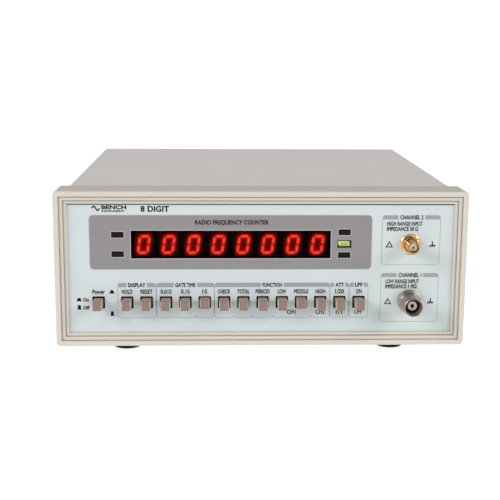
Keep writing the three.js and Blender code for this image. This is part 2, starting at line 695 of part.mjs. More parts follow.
function makeTransformerCoil() {
  const { width, depth, height, limb } = TRANSFORMER;
  const windowWidth = (width - 4 * limb) / 2;
  const outline = roundedRectangle(2 * (limb + windowWidth - GAP), COIL_DEPTH, 3);
  outline.holes.push(rectangle(2 * (limb + GAP), depth + 2 * GAP));
  return alongZ(outline, limb + GAP, height - limb - GAP, 3);
}

const trayTop = COVER_BOTTOM + GAP + SHEET;
place('transformer_core', makeTransformerCore(), FINISHES.steel(),
  TRANSFORMER.x, TRANSFORMER.y, trayTop + GAP);
place('transformer_coil', makeTransformerCoil(), FINISHES.copper(),
  TRANSFORMER.x, TRANSFORMER.y, trayTop + GAP);

// ---- Mains inlet and fuse drawer -------------------------------------------------------------

// The inlet's origin is the middle of its flange's rear face.
function makeInlet() {
  const { width, height, thickness } = INLET_FLANGE;
  const flange = boxBetween([-width / 2, -thickness, -height / 2], [width / 2, 0, height / 2]);
  const body = boxBetween(
    [-INLET_BODY.width / 2, -INLET_BODY.depth, -INLET_BODY.height / 2],
    [INLET_BODY.width / 2, -thickness / 2, INLET_BODY.height / 2],
  );
  const [halfWidth, halfHeight] = [SOCKET.width / 2, SOCKET.height / 2];
  const socket = alongY(polygon([
    [-halfWidth, SOCKET.z - halfHeight], [halfWidth, SOCKET.z - halfHeight],
    [halfWidth, SOCKET.z + halfHeight - SOCKET.corner],
    [halfWidth - SOCKET.corner, SOCKET.z + halfHeight],
    [SOCKET.corner - halfWidth, SOCKET.z + halfHeight],
    [-halfWidth, SOCKET.z + halfHeight - SOCKET.corner],
  ]), -SOCKET.depth, 1);
  const bay = boxBetween(
    [-DRAWER.width / 2 - GAP, -DRAWER.depth - GAP, DRAWER.z - DRAWER.height / 2 - GAP],
    [DRAWER.width / 2 + GAP, 1, DRAWER.z + DRAWER.height / 2 + GAP],
  );
  const radius = INLET_SCREW_HOLE_RADIUS;
  const fixings = [-1, 1].map((side) => new THREE.CylinderGeometry(radius, radius, 10, 12)
    .translate((side * INLET_SCREW_SPACING) / 2, 0, 0));
  return cut(join(flange, [body]), [socket, bay, ...fixings]);
}

const inletY = REAR_PANEL_REAR + GAP + INLET_FLANGE.thickness;
place('mains_inlet', makeInlet(), FINISHES.black(), INLET_PLACE.x, inletY, INLET_PLACE.z);
const drawer = boxBetween(
  [-DRAWER.width / 2, -DRAWER.depth, -DRAWER.height / 2],
  [DRAWER.width / 2, -DRAWER.recess, DRAWER.height / 2],
);
place('fuse_drawer', drawer, FINISHES.black(), INLET_PLACE.x, inletY, INLET_PLACE.z + DRAWER.z);

// ---- Stand the counter on its feet, centred in depth -----------------------------------------

const frontMost = PANEL_FRONT - BNC_PROUD;
instrument.position.set(0, -(frontMost + inletY) / 2, FOOT_DROP);
counter.updateMatrixWorld(true);

export default counter;
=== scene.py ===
"""Looks of the bench frequency counter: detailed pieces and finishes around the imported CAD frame."""
import math

import bmesh
import bpy
from mathutils import Euler, Matrix, Vector


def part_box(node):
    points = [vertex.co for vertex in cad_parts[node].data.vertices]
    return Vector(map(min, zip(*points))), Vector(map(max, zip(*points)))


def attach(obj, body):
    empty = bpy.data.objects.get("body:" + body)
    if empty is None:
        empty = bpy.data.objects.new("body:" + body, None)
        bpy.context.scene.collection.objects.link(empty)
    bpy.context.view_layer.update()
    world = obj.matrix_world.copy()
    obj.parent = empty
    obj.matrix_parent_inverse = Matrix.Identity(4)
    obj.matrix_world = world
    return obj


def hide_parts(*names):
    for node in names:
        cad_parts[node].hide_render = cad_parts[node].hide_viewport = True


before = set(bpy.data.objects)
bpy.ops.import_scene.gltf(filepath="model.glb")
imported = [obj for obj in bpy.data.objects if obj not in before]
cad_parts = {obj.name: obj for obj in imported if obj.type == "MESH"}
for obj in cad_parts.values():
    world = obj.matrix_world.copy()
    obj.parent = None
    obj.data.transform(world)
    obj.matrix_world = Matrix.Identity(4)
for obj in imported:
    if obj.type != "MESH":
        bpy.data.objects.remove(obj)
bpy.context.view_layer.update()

# ---- Places and sizes ------------------------------------------------------------------------
# Lengths in this script are millimetres from the bezel: X from its middle, Y back from its front
# face and Z up from its bottom edge. at() turns them into metres in the frame.

MM = 0.001
BEZEL_LOW, BEZEL_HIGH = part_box("front_bezel")


def at(x, y, z):
    return Vector((x * MM, BEZEL_LOW.y + y * MM, BEZEL_LOW.z + z * MM))


def node_box(node):
    """Lowest and highest corner of a CAD node, in millimetres from the bezel."""
    origin = Vector((0, BEZEL_LOW.y, BEZEL_LOW.z))
    return tuple((corner - origin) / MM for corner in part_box(node))


def middle_of(node):
    low, high = node_box(node)
    return (low + high) / 2


BEZEL_WIDTH = (BEZEL_HIGH.x - BEZEL_LOW.x) / MM
BEZEL_HEIGHT = (BEZEL_HIGH.z - BEZEL_LOW.z) / MM
BEZEL_RIM = 6.65  # from the bezel's outer edge to its opening
SHEET = 1.2  # the case's sheet steel
GAP = 0.3
BEZEL_REAR = node_box("bottom_tray")[0].y - GAP
PANEL_LOW = node_box("front_panel")[0]
PANEL_HIGH = node_box("front_panel")[1]
PANEL_FACE = PANEL_LOW.y
FILM = 0.12  # thickness of the printed film on the panel
INK = 0.03  # thickness of each printed layer on the film
FILM_FACE = PANEL_FACE - FILM

WINDOW = middle_of("display_filter")
WINDOW_WIDTH = 102.7
WINDOW_HEIGHT = 14.6
DISPLAY_ZONE = {"left": -88.0, "right": 56.7, "low": 40.2, "high": 68.3, "radius": 2.0}
LAMPS = ["lamp_left_upper", "lamp_left_lower", "lamp_right_upper", "lamp_right_middle",
         "lamp_right_lower"]
LIT_LAMP = "lamp_right_middle"
LAMP_WIDTH = 6.4
LAMP_HEIGHT = 3.1

BANK_BUTTONS = ["hold", "reset", "gate_10ms", "gate_100ms", "gate_1s", "check", "total",
                "period", "low_band", "mid_band", "high_band", "attenuator", "low_pass"]
BUTTONS = ["power"] + BANK_BUTTONS
LATCHED = ["gate_1s", "mid_band"]  # drawn pressed in
LATCH_DEPTH = 3.75
BUTTON_HOLE = 6.4
STATION = {name: middle_of(f"button_{name}").x for name in BUTTONS}
BUTTON_Z = middle_of("button_power").z
HALF_PITCH = (STATION["reset"] - STATION["hold"]) / 2

BNC = middle_of("bnc_shell")
SMA = middle_of("sma_shell")

# ---- Materials -------------------------------------------------------------------------------


def linear(red, green, blue):
    """A display colour of 0 to 255 as the linear colour that shaders use."""
    def one(value):
        value /= 255
        return value / 12.92 if value <= 0.04045 else ((value + 0.055) / 1.055) ** 2.4
    return (one(red), one(green), one(blue), 1.0)


def scaled(color, factor):
    return tuple(min(1.0, channel * factor) for channel in color[:3]) + (1.0,)


WAVE_RADIANS = 20  # by which a wave texture of scale 1 advances over one unit
NOISE_LOW, NOISE_HIGH = 0.3, 0.7  # where nearly all of a noise texture's values lie


class Finish:
    """A node material that starts as a plain principled shader and gains detail call by call."""

    def __init__(self, name, color, roughness, metallic=0.0):
        self.material = bpy.data.materials.new(name)
        self.material.use_nodes = True
        self.tree = self.material.node_tree
        self.shader = self.tree.nodes["Principled BSDF"]
        self.color = linear(*color)
        self.roughness = roughness
        self.set(Base_Color=self.color, Roughness=roughness, Metallic=metallic)
        self.place = self.node("TexCoord", {}).outputs["Object"]

    def feed(self, node, sockets):
        """Sets a node's inputs: a constant directly, another node's output by a link."""
        for key, value in sockets.items():
            if isinstance(value, bpy.types.NodeSocket):
                self.tree.links.new(value, node.inputs[key])
            else:
                node.inputs[key].default_value = value
        return node

    def node(self, kind, sockets):
        return self.feed(self.tree.nodes.new("ShaderNode" + kind), sockets)

    def set(self, **sockets):
        self.feed(self.shader, {key.replace("_", " "): value for key, value in sockets.items()})
        return self

    def noise(self, grain_mm, detail, stretch=None):
        """Noise whose grain is about that many millimetres."""
        place = self.place
        if stretch:
            place = self.node("Mapping", {"Scale": stretch, "Vector": place}).outputs["Vector"]
        sockets = {"Scale": 1 / (grain_mm * MM), "Detail": detail, "Vector": place}
        return self.node("TexNoise", sockets).outputs["Fac"]

    def ranged(self, noise, low, high):
        sockets = {"From Min": NOISE_LOW, "From Max": NOISE_HIGH, "To Min": low, "To Max": high,
                   "Value": noise}
        return self.node("MapRange", sockets).outputs["Result"]

    def mix(self, factor, first, second):
        blend = self.tree.nodes.new("ShaderNodeMix")
        blend.data_type = "RGBA"
        self.feed(blend, {"Factor": factor, 6: first, 7: second})  # 6 and 7 are its colours
        return blend.outputs[2]

    def mottled(self, grain_mm, amount):
        """Small, slow changes of colour over the surface."""
        factor = self.ranged(self.noise(grain_mm, 4.0), 0, 1)
        dark, light = scaled(self.color, 1 - amount), scaled(self.color, 1 + amount)
        return self.set(Base_Color=self.mix(factor, dark, light))

    def uneven_gloss(self, grain_mm, amount):
        noise = self.noise(grain_mm, 4.0)
        low, high = self.roughness - amount, self.roughness + amount
        return self.set(Roughness=self.ranged(noise, low, high))

    def dented(self, height, depth_mm, strength):
        """Relief that follows a height value, on top of any relief the finish has."""
        sockets = {"Strength": strength, "Distance": depth_mm * MM, "Height": height}
        previous = self.shader.inputs["Normal"].links
        if previous:
            sockets["Normal"] = previous[0].from_socket
        return self.set(Normal=self.node("Bump", sockets).outputs["Normal"])

    def bumped(self, grain_mm, depth_mm, strength, stretch=None):
        return self.dented(self.noise(grain_mm, 2.0, stretch), depth_mm, strength)

    def waved(self, width_mm, axis, light, dark):
        """Even bands across one axis, such as stacked sheets: they repeat every 2 pi widths."""
        scale = 1 / (width_mm * MM) / WAVE_RADIANS
        wave = self.node("TexWave", {"Scale": scale, "Distortion": 0.4, "Vector": self.place})
        wave.bands_direction = axis
        band = wave.outputs["Fac"]
        self.set(Base_Color=self.mix(band, linear(*dark), linear(*light)))
        return self.dented(band, 0.1, 0.5)

    def glowing(self, edge, core, strength):
        """Light that follows the mesh's glow: none at 0, the edge colour at 0.5, the core's at 1."""
        attribute = self.node("Attribute", {})
        attribute.attribute_name = "glow"
        ramp = self.node("ValToRGB", {"Fac": attribute.outputs["Fac"]})
        stops = ramp.color_ramp.elements
        stops[0].color = (0, 0, 0, 1)
        stops[1].color = core
        stops.new(0.5).color = edge
        return self.set(Emission_Color=ramp.outputs["Color"], Emission_Strength=strength)


FINISHES = {
    "bezel": Finish("bezel_plastic", (199, 192, 182), 0.5)
    .mottled(14, 0.012).uneven_gloss(1.5, 0.05).bumped(0.35, 0.02, 0.25)
    .set(Specular_IOR_Level=0.45),
    "film": Finish("panel_film", (193, 201, 202), 0.46)
    .mottled(25, 0.012).uneven_gloss(2, 0.04).bumped(0.12, 0.004, 0.25),
    # near black: the panel's plate, also the finish of dark pieces that are painted shade in gaps,
    # holes and the cover's notch
    "plate": Finish("panel_plate", (14, 12, 12), 0.65)
    .mottled(2, 0.1).uneven_gloss(2, 0.06).bumped(0.2, 0.01, 0.3).set(Specular_IOR_Level=0.1),
    "ink_grey": Finish("ink_grey", (131, 127, 128), 0.5)
    .mottled(6, 0.015).bumped(0.12, 0.004, 0.25),
    "ink_bar": Finish("ink_bar", (146, 146, 148), 0.5)
    .mottled(4, 0.02).bumped(0.12, 0.004, 0.2),
    "ink_line": Finish("ink_line", (142, 148, 150), 0.5).mottled(4, 0.03),
    "ink_pale": Finish("ink_pale", (178, 175, 173), 0.5).mottled(4, 0.02),
    "ink_black": Finish("ink_black", (14, 14, 15), 0.5)
    .mottled(1.2, 0.12).uneven_gloss(0.8, 0.05).set(Specular_IOR_Level=0.08),
    "filter": Finish("filter_acrylic", (6, 1, 1), 0.12)
    .uneven_gloss(8, 0.02).set(Alpha=0.33, Specular_IOR_Level=0.03),
    "digit": Finish("digit_body", (8, 4, 4), 0.7)
    .mottled(3, 0.1).bumped(0.15, 0.01, 0.2).set(Specular_IOR_Level=0.1),
    "segment": Finish("segment_lit", (40, 4, 3), 0.5)
    .glowing((0.7, 0.011, 0.005, 1), (1.0, 0.1, 0.036, 1), 2.3),
    # the module face round the lit segments glows: a painted glow of their light
    "halo": Finish("digit_halo", (8, 2, 2), 0.7)
    .glowing((0.3, 0.001, 0.0, 1), (0.6, 0.004, 0.001, 1), 2.0).set(Specular_IOR_Level=0.1),
    "lamp_off": Finish("lamp_unlit", (20, 16, 14), 0.35)
    .mottled(0.8, 0.3).bumped(0.4, 0.02, 0.3).set(Specular_IOR_Level=0.12),
    "lamp_on": Finish("lamp_lit", (50, 60, 24), 0.3)
    .glowing((0.72, 0.69, 0.27, 1), (0.26, 0.43, 0.04, 1), 1.0),
    "button": Finish("button_plastic", (129, 108, 98), 0.45)
    .mottled(2.5, 0.03).uneven_gloss(1, 0.05).bumped(0.25, 0.01, 0.25),
    # a paler copy of the cap plastic: a painted highlight on the caps' edges and corners
    "button_edge_highlight": Finish("button_edge_highlight", (176, 157, 147), 0.4)
    .mottled(1.0, 0.06).bumped(0.25, 0.01, 0.2),
    # a lighter copy of the cap plastic: the caps' upper sides painted as if lit
    "button_top_painted_light": Finish("button_top_painted_light", (150, 130, 120), 0.45)
    .mottled(2.5, 0.04).uneven_gloss(1, 0.05).bumped(0.25, 0.01, 0.25),
    "nickel": Finish("nickel_plate", (164, 154, 146), 0.36, 1.0)
    .mottled(1.5, 0.05).uneven_gloss(0.7, 0.06).bumped(0.1, 0.004, 0.2, (0.2, 1, 0.2)),
    "gold": Finish("gold_plate", (222, 180, 124), 0.16, 1.0)
    .mottled(1.2, 0.06).uneven_gloss(0.5, 0.06).bumped(0.08, 0.004, 0.2),
    "ptfe": Finish("white_insulator", (238, 226, 218), 0.42)
    .mottled(1, 0.03).set(Subsurface_Weight=0.15, Subsurface_Scale=0.002),
    "cream": Finish("cream_insulator", (248, 236, 212), 0.42)
    .mottled(1, 0.03).set(Subsurface_Weight=0.15, Subsurface_Scale=0.002),
    # dull and darker than nickel: painted shade inside the BNC's bore
    "bore": Finish("bore_painted_shade", (120, 108, 98), 0.5).mottled(1, 0.1).uneven_gloss(1, 0.05),
    "cover": Finish("cover_paint", (220, 214, 211), 0.5)
    .mottled(40, 0.01).uneven_gloss(3, 0.05).bumped(0.7, 0.03, 0.3).bumped(0.25, 0.01, 0.2),
    # dark grey, a painted shadow under the bezel's top lip
    "lip_shadow": Finish("lip_shadow_print", (78, 77, 76), 0.8).set(Specular_IOR_Level=0.2),
    "rubber": Finish("foot_rubber", (13, 13, 13), 0.85)
    .mottled(4, 0.15).uneven_gloss(2, 0.08).bumped(0.3, 0.03, 0.4).set(Specular_IOR_Level=0.15),
    "zinc": Finish("zinc_steel", (186, 188, 190), 0.32, 1.0)
    .mottled(1, 0.05).uneven_gloss(0.6, 0.08).bumped(0.15, 0.005, 0.3),
    "tin": Finish("tinned_steel", (176, 178, 180), 0.38, 1.0)
    .mottled(6, 0.06).uneven_gloss(3, 0.1).bumped(2.5, 0.03, 0.25),
    "board_dark": Finish("display_board", (12, 13, 12), 0.5)
    .mottled(1.6, 0.25).bumped(1.2, 0.03, 0.3).set(Specular_IOR_Level=0.15),
    "board": Finish("circuit_board", (30, 78, 48), 0.35)
    .mottled(1.6, 0.25).bumped(1.2, 0.03, 0.3),
    "nylon": Finish("black_nylon", (30, 30, 32), 0.48)
    .mottled(3, 0.12).uneven_gloss(1.5, 0.07).bumped(0.3, 0.012, 0.3),
    "core": Finish("core_laminations", (70, 66, 62), 0.5, 0.4)
    .waved(0.5, "Y", (96, 90, 84), (44, 42, 40)),
    "coil": Finish("coil_tape", (196, 150, 52), 0.35)
    .waved(0.6, "Z", (206, 160, 62), (160, 112, 34)),
    "sleeve": Finish("capacitor_sleeve", (24, 32, 60), 0.3)
    .mottled(4, 0.1).uneven_gloss(2, 0.05),
    "brass": Finish("blade_brass", (200, 178, 120), 0.3, 1.0)
    .mottled(1, 0.06).bumped(0.2, 0.005, 0.3, (1, 0.1, 1)),
    "glass": Finish("fuse_glass", (225, 235, 235), 0.05)
    .uneven_gloss(2, 0.02).set(Alpha=0.35),
    "floor": Finish("floor_paper", (168, 168, 168), 0.85).mottled(400, 0.004)
    .set(Emission_Color=(1, 1, 1, 1), Emission_Strength=0.82),
}
FINISH = {name: finish.material for name, finish in FINISHES.items()}

# ---- Mesh helpers ----------------------------------------------------------------------------


def shaded(mesh, sharp_degrees):
    """The same mesh, smooth but for edges that turn by more than that."""
    mesh.polygons.foreach_set("use_smooth", [True] * len(mesh.polygons))
    mesh.set_sharp_from_angle(angle=math.radians(sharp_degrees))
    return mesh


def faced_outwards(mesh):
    shape = bmesh.new()
    shape.from_mesh(mesh)
    bmesh.ops.recalc_face_normals(shape, faces=shape.faces)
    shape.to_mesh(mesh)
    shape.free()
    return mesh


def settled(mesh, sharp_degrees=35.0):
    return shaded(faced_outwards(mesh), sharp_degrees)


def joined(meshes, sharp_degrees):
    """One mesh from several, their material numbers kept."""
    shape = bmesh.new()
    for mesh in meshes:
        shape.from_mesh(mesh)
    result = bpy.data.meshes.new("joined")
    shape.to_mesh(result)
    shape.free()
    for mesh in meshes:
        bpy.data.meshes.remove(mesh)
    return shaded(result, sharp_degrees)


def inked(mesh, index):
    """The same mesh with every face on one material number."""
    mesh.polygons.foreach_set("material_index", [index] * len(mesh.polygons))
    return mesh


def show(name, mesh, finishes, body="chassis", stands_for=(), sharp_degrees=35.0):
    """Puts a mesh, or a list of them as one, in the scene as a piece that rides on a body."""
    if isinstance(mesh, list):
        mesh = joined(mesh, sharp_degrees)
    mesh.name = name
    piece = bpy.data.objects.new(name, mesh)
    bpy.context.scene.collection.objects.link(piece)
    for finish in finishes:
        mesh.materials.append(FINISH[finish])
    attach(piece, body)
    if stands_for:
        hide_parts(*stands_for)
    return piece


def skin(loops, closed=False, sharp_degrees=35.0):
    """A mesh over loops of equally many (x, y, z) points, its ends filled unless it is closed."""
    count = len(loops[0])
    points = [at(*point) for loop in loops for point in loop]
    faces = []
    for step in range(len(loops) if closed else len(loops) - 1):
        first, second = step * count, (step + 1) % len(loops) * count
        for index in range(count):
            following = (index + 1) % count
            faces.append((first + index, first + following, second + following, second + index))
    if not closed:
        faces += [tuple(range(count)), tuple(range(len(points) - count, len(points)))]
    mesh = bpy.data.meshes.new("skin")
    mesh.from_pydata(points, [], faces)
    return settled(mesh, sharp_degrees)


def rounded_loop(width, height, radius, x=0.0, z=0.0, steps=6):
    """A rounded rectangle's outline as (x, z) points."""
    points = []
    for corner in range(4):
        toward_x = 1 if corner in (0, 3) else -1
        toward_z = 1 if corner in (0, 1) else -1
        centre_x = x + toward_x * (width / 2 - radius)
        centre_z = z + toward_z * (height / 2 - radius)
        for step in range(steps + 1):
            angle = math.pi / 2 * (corner + step / steps)
            points.append((centre_x + radius * math.cos(angle), centre_z + radius * math.sin(angle)))
    return points


def raised(outline, y):
    return [(x, y, z) for x, z in outline]


def turned(profile, centre, segments, closed=False, sharp_degrees=35.0):
    """A profile of (radius, depth) turned about a Y axis through a point (x, y, z)."""
    x, face, z = centre
    loops = []
    for radius, depth in profile:
        loop = []
        for step in range(segments):
            angle = 2 * math.pi * step / segments
            loop.append((x + radius * math.cos(angle), face + depth, z + radius * math.sin(angle)))
        loops.append(loop)
    return skin(loops, closed, sharp_degrees)


def moved(mesh, matrix):
    mesh.transform(matrix)
    return mesh


def block(low, high, bevel):
    """A box between two corners in millimetres, with rounded edges."""
    shape = bmesh.new()
    bmesh.ops.create_cube(shape, size=1.0)
    low, high = Vector(low), Vector(high)
    for vertex in shape.verts:
        spot = Vector(low[i] + (vertex.co[i] + 0.5) * (high[i] - low[i]) for i in range(3))
        vertex.co = at(*spot)
    bmesh.ops.bevel(shape, geom=shape.edges[:], offset=bevel * MM, segments=2,
                    profile=0.5, affect="EDGES", clamp_overlap=True)
    mesh = bpy.data.meshes.new("block")
    shape.to_mesh(mesh)
    shape.free()
    return settled(mesh, 50.0)


def evaluated_mesh(data, cutter=None):
    """The final mesh of a mesh, curve or text, less the cutter's volume if there is one."""
    things = [bpy.data.objects.new("maker", data)]
    if cutter:
        things.append(bpy.data.objects.new("cutter", cutter))
        boolean = things[0].modifiers.new("cut", "BOOLEAN")
        boolean.operation = "DIFFERENCE"
        boolean.solver = "EXACT"
        boolean.object = things[1]
    for thing in things:
        bpy.context.scene.collection.objects.link(thing)
    bpy.context.view_layer.update()
    depsgraph = bpy.context.evaluated_depsgraph_get()
    mesh = bpy.data.meshes.new_from_object(things[0].evaluated_get(depsgraph))
    for thing in things:
        bpy.data.objects.remove(thing)
    return mesh


TO_PANEL = Matrix.Rotation(math.pi / 2, 4, "X")  # drawing plane to the X-Z plane, facing -Y


def printed(loops, face, thickness):
    """A flat printed area: closed outlines of (x, z), where one inside another is a hole."""
    curve = bpy.data.curves.new("print", "CURVE")
    curve.dimensions = "2D"
    curve.fill_mode = "BOTH"
    curve.extrude = thickness * MM / 2
    for loop in loops:
        spline = curve.splines.new("POLY")
        spline.points.add(len(loop) - 1)
        for point, (x, z) in zip(spline.points, loop):
            point.co = (x * MM, z * MM, 0, 1)
        spline.use_cyclic_u = True
    place = Matrix.Translation(at(0, face - thickness / 2, 0))
    return settled(moved(evaluated_mesh(curve), place @ TO_PANEL), 30.0)


def ribbon(points, width, closed=False):
    """The outline of a line of even width along (x, z) points: one loop, or two if it is closed."""
    count = len(points)
    sides = ([], [])
    for index, (x, z) in enumerate(points):
        before = points[index - 1] if closed or index else points[index]
        after = points[(index + 1) % count] if closed or index < count - 1 else points[index]
        first = Vector((x - before[0], z - before[1]))
        second = Vector((after[0] - x, after[1] - z))
        first = first.normalized() if first.length else second.normalized()
        second = second.normalized() if second.length else first
        along = (first + second).normalized()
        across = Vector((-along.y, along.x))
        reach = width / 2 / max(0.5, abs(along.dot(second)))
        sides[0].append((x + across.x * reach, z + across.y * reach))
        sides[1].append((x - across.x * reach, z - across.y * reach))
    if closed:
        return [sides[0], sides[1]]
    return [sides[0] + sides[1][::-1]]


def arc(x, z, radius, start, end, steps=5):
    """Points of an arc, its angles in degrees."""
    return [(x + radius * math.cos(math.radians(start + (end - start) * step / steps)),
             z + radius * math.sin(math.radians(start + (end - start) * step / steps)))
            for step in range(steps + 1)]


def emboldened(mesh, weight):
    """A flat mesh grown by that many millimetres all round and given the ink's thickness."""
    shape = bmesh.new()
    shape.from_mesh(mesh)
    bmesh.ops.remove_doubles(shape, verts=shape.verts, dist=0.005 * MM)
    for polygon in shape.faces:
        polygon.normal_update()
        if polygon.normal.z < 0:
            polygon.normal_flip()
    shape.verts.index_update()
    outward = [[] for _ in shape.verts]
    sides = []
    for edge in shape.edges:
        if len(edge.link_faces) != 1:
            continue
        loop = edge.link_loops[0]
        start, end = loop.vert, loop.link_loop_next.vert
        normal = (end.co - start.co).cross(Vector((0, 0, 1))).normalized()
        outward[start.index].append(normal)
        outward[end.index].append(normal)
        sides.append((start.index, end.index))
    points = []
    for vertex, normals in zip(shape.verts, outward):
        total = sum(normals, Vector())
        mitre = total * len(normals) / max(total.length_squared, 0.1)
        reach = min(mitre.length, 1.5) * weight * MM
        points.append(vertex.co + mitre.normalized() * reach)
    count = len(points)
    half = Vector((0, 0, INK * MM / 2))
    front = [tuple(vertex.index for vertex in polygon.verts) for polygon in shape.faces]
    faces = front + [tuple(index + count for index in reversed(face)) for face in front]
    faces += [(start, start + count, end + count, end) for start, end in sides]
    shape.free()
    solid = bpy.data.meshes.new("letters")
    solid.from_pydata([point + half for point in points] + [point - half for point in points],
                      [], faces)
    return solid


CAP_SHARE = 0.73  # a capital's height as a share of the letter size


def lettering(text, x, z, cap_height, width, align="CENTER", shear=0.0, weight=0.1):
    """Flat bold letters on height z, that many millimetres wide, just in front of the film."""
    curve = bpy.data.curves.new("lettering", "FONT")
    curve.body = text
    curve.size = (cap_height - 2 * weight) / CAP_SHARE * MM
    curve.shear = shear
    curve.resolution_u = 4
    curve.space_character = 1.04
    mesh = emboldened(evaluated_mesh(curve), weight)
    spots = [vertex.co.x for vertex in mesh.vertices]
    left, natural = min(spots), max(spots) - min(spots)
    start = x if align == "LEFT" else x - width / 2
    place = Matrix.Translation(at(start, FILM_FACE - 1.5 * INK, z + weight))
    narrow = Matrix.Diagonal((width * MM / natural, 1, 1, 1))
    return moved(mesh, place @ TO_PANEL @ narrow @ Matrix.Translation((-left, 0, 0)))


def softened(node, finish, width, segments=2, angle=40.0):
    """A CAD node shown as it is, with its finish and with its sharp edges rounded."""
    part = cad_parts[node]
    part.data.materials.clear()
    part.data.materials.append(FINISH[finish])
    part.data.polygons.foreach_set("use_smooth", [True] * len(part.data.polygons))
    weld = part.modifiers.new("weld", "WELD")
    weld.merge_threshold = 0.002 * MM
    bevel = part.modifiers.new("bevel", "BEVEL")
    bevel.width = width * MM
    bevel.segments = segments
    bevel.limit_method = "ANGLE"
    bevel.angle_limit = math.radians(angle)
    weighted = part.modifiers.new("weighted", "WEIGHTED_NORMAL")
    weighted.keep_sharp = True
    return part


# ---- Camera, light and floor -----------------------------------------------------------------


def make_camera():
    data = bpy.data.cameras.new("camera")
    data.sensor_width = 36
    data.lens = 76.7
    data.shift_x = -0.0203
    data.shift_y = -0.0102
    data.clip_start = 0.01
    camera = bpy.data.objects.new("camera", data)
    camera.location = at(-22.13, -534.01, 158.27)
    tilt, roll, turn = 78.909, -0.401, -2.198
    camera.rotation_euler = Euler([math.radians(a) for a in (tilt, roll, turn)], "XYZ")
    bpy.context.scene.collection.objects.link(camera)
    bpy.context.scene.camera = camera


def make_sun(name, place, power, spread):
    """Soft distant light from the direction of a place seen from the object."""
    data = bpy.data.lights.new(name, "SUN")
    data.energy = power
    data.angle = math.radians(spread)
    light = bpy.data.objects.new(name, data)
    light.rotation_euler = (-Vector(place)).to_track_quat("-Z", "Y").to_euler()
    bpy.context.scene.collection.objects.link(light)


def make_world():
    """A studio that is white round the horizon and dims overhead."""
    world = bpy.data.worlds.new("studio")
    world.use_nodes = True
    nodes, links = world.node_tree.nodes, world.node_tree.links
    direction = nodes.new("ShaderNodeTexCoord").outputs["Generated"]
    parts = nodes.new("ShaderNodeSeparateXYZ")
    links.new(direction, parts.inputs["Vector"])
    remap = nodes.new("ShaderNodeMapRange")
    remap.inputs["From Min"].default_value = 0.04
    remap.inputs["From Max"].default_value = 0.22
    remap.inputs["To Min"].default_value = 1.03
    remap.inputs["To Max"].default_value = 0.15
    links.new(parts.outputs["Z"], remap.inputs["Value"])
    links.new(remap.outputs["Result"], nodes["Background"].inputs["Strength"])
    nodes["Background"].inputs["Color"].default_value = (1, 1, 1, 1)
    bpy.context.scene.world = world


def make_surroundings():
    make_sun("left", (-0.85, -0.45, 0.5), 2.05, 28)
    make_sun("right", (0.85, -0.5, 0.5), 1.73, 30)
    make_sun("top", (0.0, 0.2, 1.0), 0.33, 60)
    make_world()
    bpy.context.scene.view_settings.view_transform = "Standard"
    half = 20.0
    mesh = bpy.data.meshes.new("floor")
    mesh.from_pydata([(-half, -half, 0), (half, -half, 0), (half, half, 0), (-half, half, 0)],
                     [], [(0, 1, 2, 3)])
    mesh.materials.append(FINISH["floor"])
    floor = bpy.data.objects.new("floor", mesh)
    bpy.context.scene.collection.objects.link(floor)


# ---- Bezel -----------------------------------------------------------------------------------


def make_bezel():
    """A frame with three steps down to the panel, made by carrying one section round it."""
    section = [
        (0.35, BEZEL_REAR), (0.0, BEZEL_REAR - 0.35), (0.0, 1.0),
        (0.08, 0.6), (0.25, 0.28), (0.55, 0.07), (0.9, 0.0),
    ]
    for riser, land in ((2.75, 0.0), (4.8, 1.0)):
        section += [(riser - 0.3, land), (riser - 0.12, land + 0.06), (riser - 0.02, land + 0.22),
                    (riser, land + 0.4), (riser, land + 1.5), (riser + 0.36, land + 1.5),
                    (riser + 0.38, land + 1.15), (riser + 0.5, land + 1.0)]
    section += [(6.3, 2.0), (6.5, 2.06), (6.63, 2.22), (BEZEL_RIM, 2.45), (BEZEL_RIM, 2.85),
                (5.4, 2.85), (4.4, 3.2), (4.4, BEZEL_REAR)]
    outer_radius = 2.3
    loops = []
    for inset, depth in section:
        radius = max(outer_radius - inset, 0.3)
        outline = rounded_loop(BEZEL_WIDTH - 2 * inset, BEZEL_HEIGHT - 2 * inset, radius,
                               0, BEZEL_HEIGHT / 2, 8)
        loops.append(raised(outline, depth))
    meshes = [skin(loops, closed=True, sharp_degrees=32.0)]
    cover_inside = node_box("top_cover")[1].z - SHEET - GAP
    tray_inside = node_box("bottom_tray")[0].z + SHEET + GAP
    lug = {"x": 86.0, "width": 12.0, "height": 6.0, "front": 15.0, "rear": 34.0}
    for side in (-1, 1):
        for low in (tray_inside, cover_inside - lug["height"]):
            meshes.append(block(
                (side * lug["x"] - lug["width"] / 2, lug["front"], low),
                (side * lug["x"] + lug["width"] / 2, lug["rear"], low + lug["height"]), 0.4))
    show("bezel", meshes, ["bezel"], stands_for=["front_bezel"],
         sharp_degrees=32.0)


# ---- Front panel and its print ---------------------------------------------------------------


def rectangle(left, low, right, high, radius=0.0, steps=4):
    width, height = right - left, high - low
    if not radius:
        return [(right, high), (left, high), (left, low), (right, low)]
    return rounded_loop(width, height, radius, (left + right) / 2, (low + high) / 2, steps)


def around(spot, width, height, grow=0.0, radius=0.0):
    half_width, half_height = width / 2 + grow, height / 2 + grow
    return rectangle(spot.x - half_width, spot.z - half_height,
                     spot.x + half_width, spot.z + half_height, radius)


def panel_holes():
    holes = [around(WINDOW, WINDOW_WIDTH, WINDOW_HEIGHT)]
    holes += [around(middle_of(lamp), LAMP_WIDTH, LAMP_HEIGHT) for lamp in LAMPS]
    for name in BUTTONS:
        spot = Vector((STATION[name], 0, BUTTON_Z))
        holes.append(around(spot, BUTTON_HOLE, BUTTON_HOLE, 0.0, 0.3))
    for spot, radius in ((BNC, 5.0), (SMA, 3.475)):
        holes.append(arc(spot.x, spot.z, radius, 0, 352.5, 47))  # 48 points, 7.5 degrees apart
    return holes


